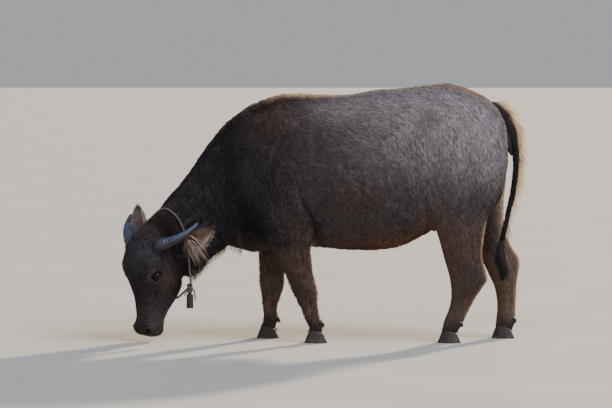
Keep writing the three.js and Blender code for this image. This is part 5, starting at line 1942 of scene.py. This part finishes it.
def eye(hand, side):
    out, inner, up = eye_frame(side)
    centre = np.array([side * EYE["l"], EYE["n"], EYE["a"]])
    inside_lids, bulge_high, bulge_wide = 0.4, 1.6, 0.52

    def place(share, angle):
        polar = share * math.pi
        radius = EYE["radius"] - inside_lids + bulge_high * np.exp(-(polar / bulge_wide) ** 4)
        p = centre + out * (radius * np.cos(polar))[:, None]
        p = p + inner * (radius * np.sin(polar) * np.cos(angle))[:, None]
        p = p + up * (radius * np.sin(polar) * np.sin(angle))[:, None]
        return on_head(*p.T)

    shape = lofted(72, 64, place)
    thing = face_out(shaped(f"eyeball_{hand}", shape))
    q = in_head(shape[0]) - centre
    level, height = q @ inner, q @ up
    flat = np.hypot(level, height)
    pupil = np.hypot(level / 8.0, height / 4.6)
    colour = layered((0.045, 0.028, 0.024), len(q), (
        ((0.012, 0.006, 0.004), 1 - smoothstep(flat, 13.6, 14.8)),
        ((0.006, 0.004, 0.004), groove(flat - 14.0, 1.2)),
        ((0.002, 0.002, 0.003), 1 - smoothstep(pupil, 0.9, 1.1))))
    set_attribute(thing.data, "tone", "FLOAT_COLOR", np.c_[colour, np.ones(len(q))])
    finished(thing, EYE_STUFF, "eye", f"eye_{hand}")


for hand, side in SIDES:
    eye(hand, side)


# Hooves and dewclaws

def hoof_material():
    s = Shader("Hoof", Roughness=0.55, Specular_IOR_Level=0.4)
    down = s.noise(s.place((240, 240, 9)), 1.0, 3, 0.7)
    rings = s.noise(s.place((6, 6, 230)), 1.0, 2, 0.6)
    dirt = s.ranged(s.noise(s.place(), 42.0, 5, 0.7), 0.45, 0.7)
    colour = s.ramp(
        down * 0.6 + rings * 0.4,
        (0.25, (0.008, 0.007, 0.007)), (0.55, (0.020, 0.017, 0.016)), (0.8, (0.050, 0.042, 0.038)))
    where = s.node("ShaderNodeTexCoord").out("Object")
    height = s.node("ShaderNodeSeparateXYZ", None, {0: where}).out("Z")
    low = s.ranged(height, 0.0, 0.03, 1.0, 0.25)
    s.set("Base Color", s.mix(dirt * low * 0.8, colour, (0.14, 0.10, 0.075, 1)))
    s.bump(down * 0.5 + rings, 0.0014, 0.6)
    s.set("Roughness", dirt * 0.25 + 0.45)
    return s.material


HOOF_STUFF = hoof_material()
# From the middle of the sole, over the wall, to the middle of the top: reach and height.
CLAW_PROFILE = [
    (0, 0.0), (0.62, 0.0), (0.95, 0.0), (1, 0.03), (1, 0.25), (0.985, 0.5), (0.97, 0.75),
    (0.97, 0.93), (0.93, 1.02), (0.8, 1.06), (0.4, 1.06), (0, 1.06),
]
# Dewclaws, from their roots: how far before the back edge, height over their middle, and radius.
DEWCLAW_PATH = [(30, 14, 8), (17, 9, 8.5), (9, 1, 7.5), (6, -DEWCLAW["long"] / 3, 3.5)]


def hoof(name, side, foot_x, foot_y, inner):
    middle_y = foot_y + inner * (CLAW["wide"] + CLAW["apart"]) / 2

    def place(share, angle):
        reach, high = between(CLAW_PROFILE, share).T
        toe = np.cos(angle)
        front = np.maximum(toe, 0)
        pointed = 1 - 0.25 * front ** 2
        level = np.clip(high, 0, 1)
        wide = CLAW["wide"] / 2 * (1 - 0.19 * level) * pointed
        long = CLAW["long"] / 2 * (1 - 0.1 * level)
        heel = np.maximum(-toe, 0)
        x = foot_x - reach * long * toe + (CLAW["lean"] * front - 11 * heel) * level
        inward = 1 - 0.22 * smoothstep(-inner * np.sin(angle), 0.2, 1)
        y = -side * (middle_y + reach * wide * np.sin(angle) * inward)
        top = coronet_height(x, foot_x) + 2
        return np.stack([x, y, np.clip(high, 0, None) * top], -1)

    thing = outward(shaped(f"hoof_{name}", lofted(44, 46, place)))
    finished(thing, HOOF_STUFF, "hoof", f"claw_{name}")


def dew(name, side, foot_y, inner, table):
    back = leg_edges(table, DEWCLAW["z"])[1]
    y = -side * (foot_y + inner * DEWCLAW["out"])
    path = [[back - ahead, y, DEWCLAW["z"] + up] for ahead, up, _ in DEWCLAW_PATH]
    shape = swept(path, [radius for *_, radius in DEWCLAW_PATH], 20, 24)
    finished(outward(shaped(f"dew_{name}", shape)), HOOF_STUFF, "hoof", f"dewclaw_{name}")


for foot, (side, foot_x, foot_y) in FEET.items():
    end, hand = foot.split("_")
    for word, inner in (("inner", -1), ("outer", 1)):
        hoof(f"{foot}_{word}", side, foot_x, foot_y, inner)
        dew(f"{foot}_{word}", side, foot_y, inner, LEGS[f"{end}leg_{hand}"][0])


# Collar: a twisted rope, taut over the neck in one plane, its knot and its bell

def rope_material():
    s = Shader("Old rope", Roughness=0.85, Specular_IOR_Level=0.2)
    fibre = s.noise(s.over(s.attribute("along") * 900.0, s.attribute("round") * 14.0), 1.0, 3, 0.7)
    dirt = s.noise(s.place(), 38.0, 4, 0.6)
    s.set("Base Color", s.ramp(
        fibre * 0.6 + dirt * 0.5 - 0.05,
        (0.2, (0.03, 0.026, 0.025)), (0.5, (0.095, 0.085, 0.08)), (0.8, (0.24, 0.22, 0.20))))
    s.bump(fibre, 0.0012, 0.8)
    return s.material


ROPE_STUFF = rope_material()


def collar_axes():
    top = np.array(COLLAR["nape"], float)
    low = np.array(COLLAR["throat"], float)
    down = unit(low - top)
    turn = math.radians(COLLAR["turn"])
    side = np.array([math.sin(turn), -math.cos(turn), 0])
    side = unit(side - down * (side @ down))
    return top, side, down, np.cross(side, down), np.linalg.norm(low - top)


def taut(points):
    """The points of a flat set that a taut string round it would touch, in order."""
    order = points[np.lexsort((points[:, 1], points[:, 0]))]

    def half(rows):
        chain = []
        for p in rows:
            while len(chain) > 1 and np.cross(chain[-1] - chain[-2], p - chain[-2]) <= 0:
                chain.pop()
            chain.append(p)
        return chain[:-1]

    return np.array(half(order) + half(order[::-1]))


def collar_path(steps=160):
    """The collar's middle line: taut round the neck's skin in its plane, and down to the knot."""
    top, side, down, normal, drop = collar_axes()
    p = measured(skin_ground.points) - top
    flat = np.stack([p @ side, p @ down], -1)
    off = p @ normal
    near = (np.abs(off) < 6) & (np.abs(flat[:, 0]) < 170)
    near = near & (flat[:, 1] > -70) & (flat[:, 1] < drop + 20)
    outline = taut(np.concatenate([flat[near], [[0, drop]]]))
    closed = np.concatenate([outline, outline[:1]])
    length = np.concatenate([[0], np.cumsum(np.linalg.norm(np.diff(closed, axis=0), axis=-1))])
    at = np.arange(steps) / steps * length[-1]
    loop = np.stack([np.interp(at, length, closed[:, k]) for k in (0, 1)], -1)
    for _ in range(6):
        loop = (loop + (np.roll(loop, 1, 0) + np.roll(loop, -1, 0)) * 0.5) / 2
    ahead = np.roll(loop, -1, 0) - np.roll(loop, 1, 0)
    out = unit(np.stack([ahead[:, 1], -ahead[:, 0]], -1))
    middle = loop.mean(0)
    out = np.where(np.sum(out * (loop - middle), -1, keepdims=True) > 0, out, -out)
    loop = loop + out * (COLLAR["radius"] * 1.15)
    return top + loop[:, :1] * side + loop[:, 1:] * down


def strand_tube(name, path, radius, closed, twist, around=18):
    """A rope along a path: its strands show as ridges that wind round it."""
    ply = 3
    count = len(path)
    if closed:
        ahead = np.roll(path, -1, 0) - np.roll(path, 1, 0)
    else:
        ahead = np.gradient(path, axis=0)
    along = unit(ahead)
    level = unit(np.cross(along, [0.13, 0.2, 1.0]))
    other = np.cross(level, along)
    step = np.linalg.norm(np.diff(path, axis=0), axis=-1)
    length = np.concatenate([[0], np.cumsum(step)])
    angle = np.arange(around) / around * 2 * math.pi
    turns = length / twist * 2 * math.pi
    if closed:
        whole = length[-1] + np.linalg.norm(path[0] - path[-1])
        turns = length / whole * round(whole / twist) * 2 * math.pi
    ridge = np.abs(np.cos(ply / 2 * (angle[None] - turns[:, None])))
    r = radius * (0.80 + 0.26 * ridge)
    rings = path[:, None] + level[:, None] * (r * np.cos(angle))[..., None]
    rings = rings + other[:, None] * (r * np.sin(angle))[..., None]
    i = np.arange(around)
    j = (i + 1) % around
    rows = np.arange(count if closed else count - 1)[:, None]
    start, final = rows * around, (rows + 1) % count * around
    quads = np.stack([start + i, start + j, final + j, final + i], -1).reshape(-1, 4)
    points = rings.reshape(-1, 3)
    faces = [quads]
    if not closed:
        points = np.concatenate([points, path[:1], path[-1:]])
        base = (count - 1) * around
        faces.append(np.concatenate([
            np.stack([np.full_like(i, len(points) - 2), j, i], -1),
            np.stack([np.full_like(i, len(points) - 1), base + i, base + j], -1)]))
    thing = outward(mesh_object(name, placed(points), *faces))
    spots = vertex_points(thing.data)
    set_attribute(thing.data, "along", "FLOAT", np.sum(spots * [0.3, 0.5, 0.8], -1))
    set_attribute(thing.data, "round", "FLOAT", np.resize(ridge.ravel(), len(spots)))
    return thing


def collar(steps=620, lay=21):
    path = collar_path()
    path = between(np.concatenate([path, path[:1]]), np.arange(steps) / steps)
    rope = strand_tube("rope_collar", path, COLLAR["radius"], True, lay)
    finished(rope, ROPE_STUFF, "rope", "collar_rope")


collar()


def knot_path():
    """Two turns of the rope round its own ends, one above the other."""
    low = np.array(COLLAR["throat"], float)
    t = np.linspace(0, 1, 260)
    wind = t * 2 * math.pi * 3.4
    reach = 8.2 + 1.6 * np.sin(wind * 0.5)
    z = 8 - 30 * t + 4 * np.sin(wind)
    return low + np.stack([reach * np.cos(wind), reach * np.sin(wind), z - KNOT["below"] + 4], -1)


def rope_end(start, drift, long):
    t = np.linspace(0, 1, 60)[:, None]
    bow = np.array([3, 2, 0]) * np.sin(t * 5)
    path = np.array(start, float) + np.array(drift, float) * t + np.array([0, 0, -long]) * t + bow
    return strand_tube("rope_end", path, 3.0, False, 13, 14)


def joined(first, *others):
    """One piece from several."""
    net = bmesh.new()
    net.from_mesh(first.data)
    for other in others:
        net.from_mesh(other.data)
        bpy.data.objects.remove(other)
    net.to_mesh(first.data)
    net.free()
    return first


throat_x, throat_y, throat_z = COLLAR["throat"]
knot = joined(
    strand_tube("rope_knot", knot_path(), 4.2, False, 16),
    rope_end((throat_x + 8, throat_y + 4, throat_z - 8), (20, 10, 0), 52),
    rope_end((throat_x - 8, throat_y - 3, throat_z - 14), (-12, -6, 0), 30))
finished(knot, ROPE_STUFF, "rope", "collar_knot")


def bell_material():
    s = Shader("Dark wood", Roughness=0.6, Specular_IOR_Level=0.35)
    grain = s.noise(s.place((260, 260, 22)), 1.0, 4, 0.65)
    wear = s.noise(s.place(), 70.0, 3, 0.6)
    s.set("Base Color", s.ramp(
        grain * 0.75 + wear * 0.35 - 0.05,
        (0.25, (0.012, 0.008, 0.007)), (0.55, (0.034, 0.020, 0.015)), (0.85, (0.10, 0.06, 0.042))))
    s.bump(grain, 0.0012, 0.7)
    s.set("Roughness", wear * 0.3 + 0.42)
    return s.material


BELL_STUFF = bell_material()


def bell():
    top = throat_z - KNOT["below"] - KNOT["tall"] / 2 - 0.3
    half = BELL["wide"] / 2
    mouth = half * BELL["mouth"]
    cap, tall, wall = -BELL["cap"], -BELL["tall"], BELL["wall"]
    # radius and height, from the crown down the outside and up the inside
    outline = [
        (0, 0), (4, 0), (6.5, -1), (7.5, -5), (8.2, cap), (half - 2, cap - 2.6),
        (half - 0.4, cap - 6), (half, cap - 12), (half + 0.4, -38), (mouth - 0.4, tall + 3),
        (mouth, tall + 1), (mouth - 0.8, tall), (mouth - wall, tall), (mouth - wall - 0.3, tall + 6),
        (half - wall, cap - 17), (5, cap - 14), (0, cap - 14),
    ]
    turn = math.radians(BELL["turn"])

    def place(share, angle):
        r, z = between(outline, share).T
        r = np.maximum(r, 0) * (1 + 0.025 * np.cos(2 * angle) + 0.012 * np.sin(5 * angle))
        x, y = r * np.cos(angle), r * np.sin(angle) * BELL["deep"] / BELL["wide"]
        return np.stack([
            throat_x + x * math.cos(turn) - y * math.sin(turn),
            throat_y + x * math.sin(turn) + y * math.cos(turn), top + z], -1)

    finished(outward(shaped("wooden_bell", lofted(48, 96, place))), BELL_STUFF, "bell", "bell")
    t = np.linspace(0, 1, 40)[:, None]
    string = np.array([throat_x, throat_y, top + cap - 12.0]) + np.array([1.5, 0, -34.0]) * t
    stem = strand_tube("clapper_stem", string, 1.3, False, 6, 10)
    end = string[-1]
    knob = swept([end + [0, 0, rise] for rise in (6, 0, -6, -11)], [2.5, 5.2, 5.2, 2.0], 20, 24)
    finished(joined(outward(shaped("bell_clapper", knob)), stem), BELL_STUFF, "bell")


bell()


# Studio: a pale floor, soft cool light and a warm light from behind the rump

def floor():
    reach = 400.0
    points = np.array([(-reach, -reach, 0), (reach, -reach, 0), (reach, reach, 0), (-reach, reach, 0)])
    thing = mesh_object("studio_floor", points, np.array([[0, 1, 2, 3]]))
    s = Shader("Studio floor", Roughness=0.9)
    mottle = s.ranged(s.noise(s.place(), 1.4, 4, 0.5), 0.3, 0.7)
    s.set("Base Color", s.mix(mottle, (0.35, 0.35, 0.345, 1), (0.40, 0.40, 0.395, 1)))
    thing.data.materials.append(s.material)


floor()


def lamp(name, towards, spread, power, colour):
    """A distant soft light that comes from this way."""
    data = bpy.data.lights.new(name, "SUN")
    data.angle = math.radians(spread)
    data.energy = power
    data.color = colour
    thing = bpy.data.objects.new(name, data)
    thing.location = towards
    thing.rotation_euler = Vector(towards).to_track_quat("Z", "Y").to_euler()
    bpy.context.scene.collection.objects.link(thing)


lamp("Low warm light", (3.2, 5.2, 2.3), 4, 7.5, (1.0, 0.74, 0.48))
lamp("Sky on the right", (3.8, -3.4, 5.0), 40, 3.4, (0.92, 0.95, 1.0))
lamp("Soft front", (-3.2, -6.0, 2.0), 60, 0.5, (0.95, 0.96, 1.0))

world = bpy.data.worlds.new("Studio")
world.use_nodes = True
world.node_tree.nodes["Background"].inputs["Color"].default_value = (0.80, 0.84, 0.88, 1)
world.node_tree.nodes["Background"].inputs["Strength"].default_value = 0.5
bpy.context.scene.world = world

# The photo's view: width and focal length in its pixels, and where it was taken from, in metres.
PHOTO_WIDTH = 612
FOCAL_LENGTH = 2791
SENSOR = 36
CAMERA_AT = (-0.073 + SHIFT[0], -12.0, 1.12)
CAMERA_DOWN = 2.54

camera_data = bpy.data.cameras.new("Camera")
camera_data.sensor_width = SENSOR
camera_data.lens = FOCAL_LENGTH / PHOTO_WIDTH * SENSOR
camera_data.clip_end = 1000
camera = bpy.data.objects.new("Camera", camera_data)
camera.location = CAMERA_AT
camera.rotation_euler = (math.radians(90 - CAMERA_DOWN), 0, 0)
bpy.context.scene.collection.objects.link(camera)
bpy.context.scene.camera = camera

# The shapes of the tufts and the tree that grew them are no longer needed.
for shapes in (short_tufts, middle_tufts, long_locks):
    for shape in list(shapes.objects):
        bpy.data.objects.remove(shape)
    bpy.data.collections.remove(shapes)
bpy.data.node_groups.remove(TUFTS)
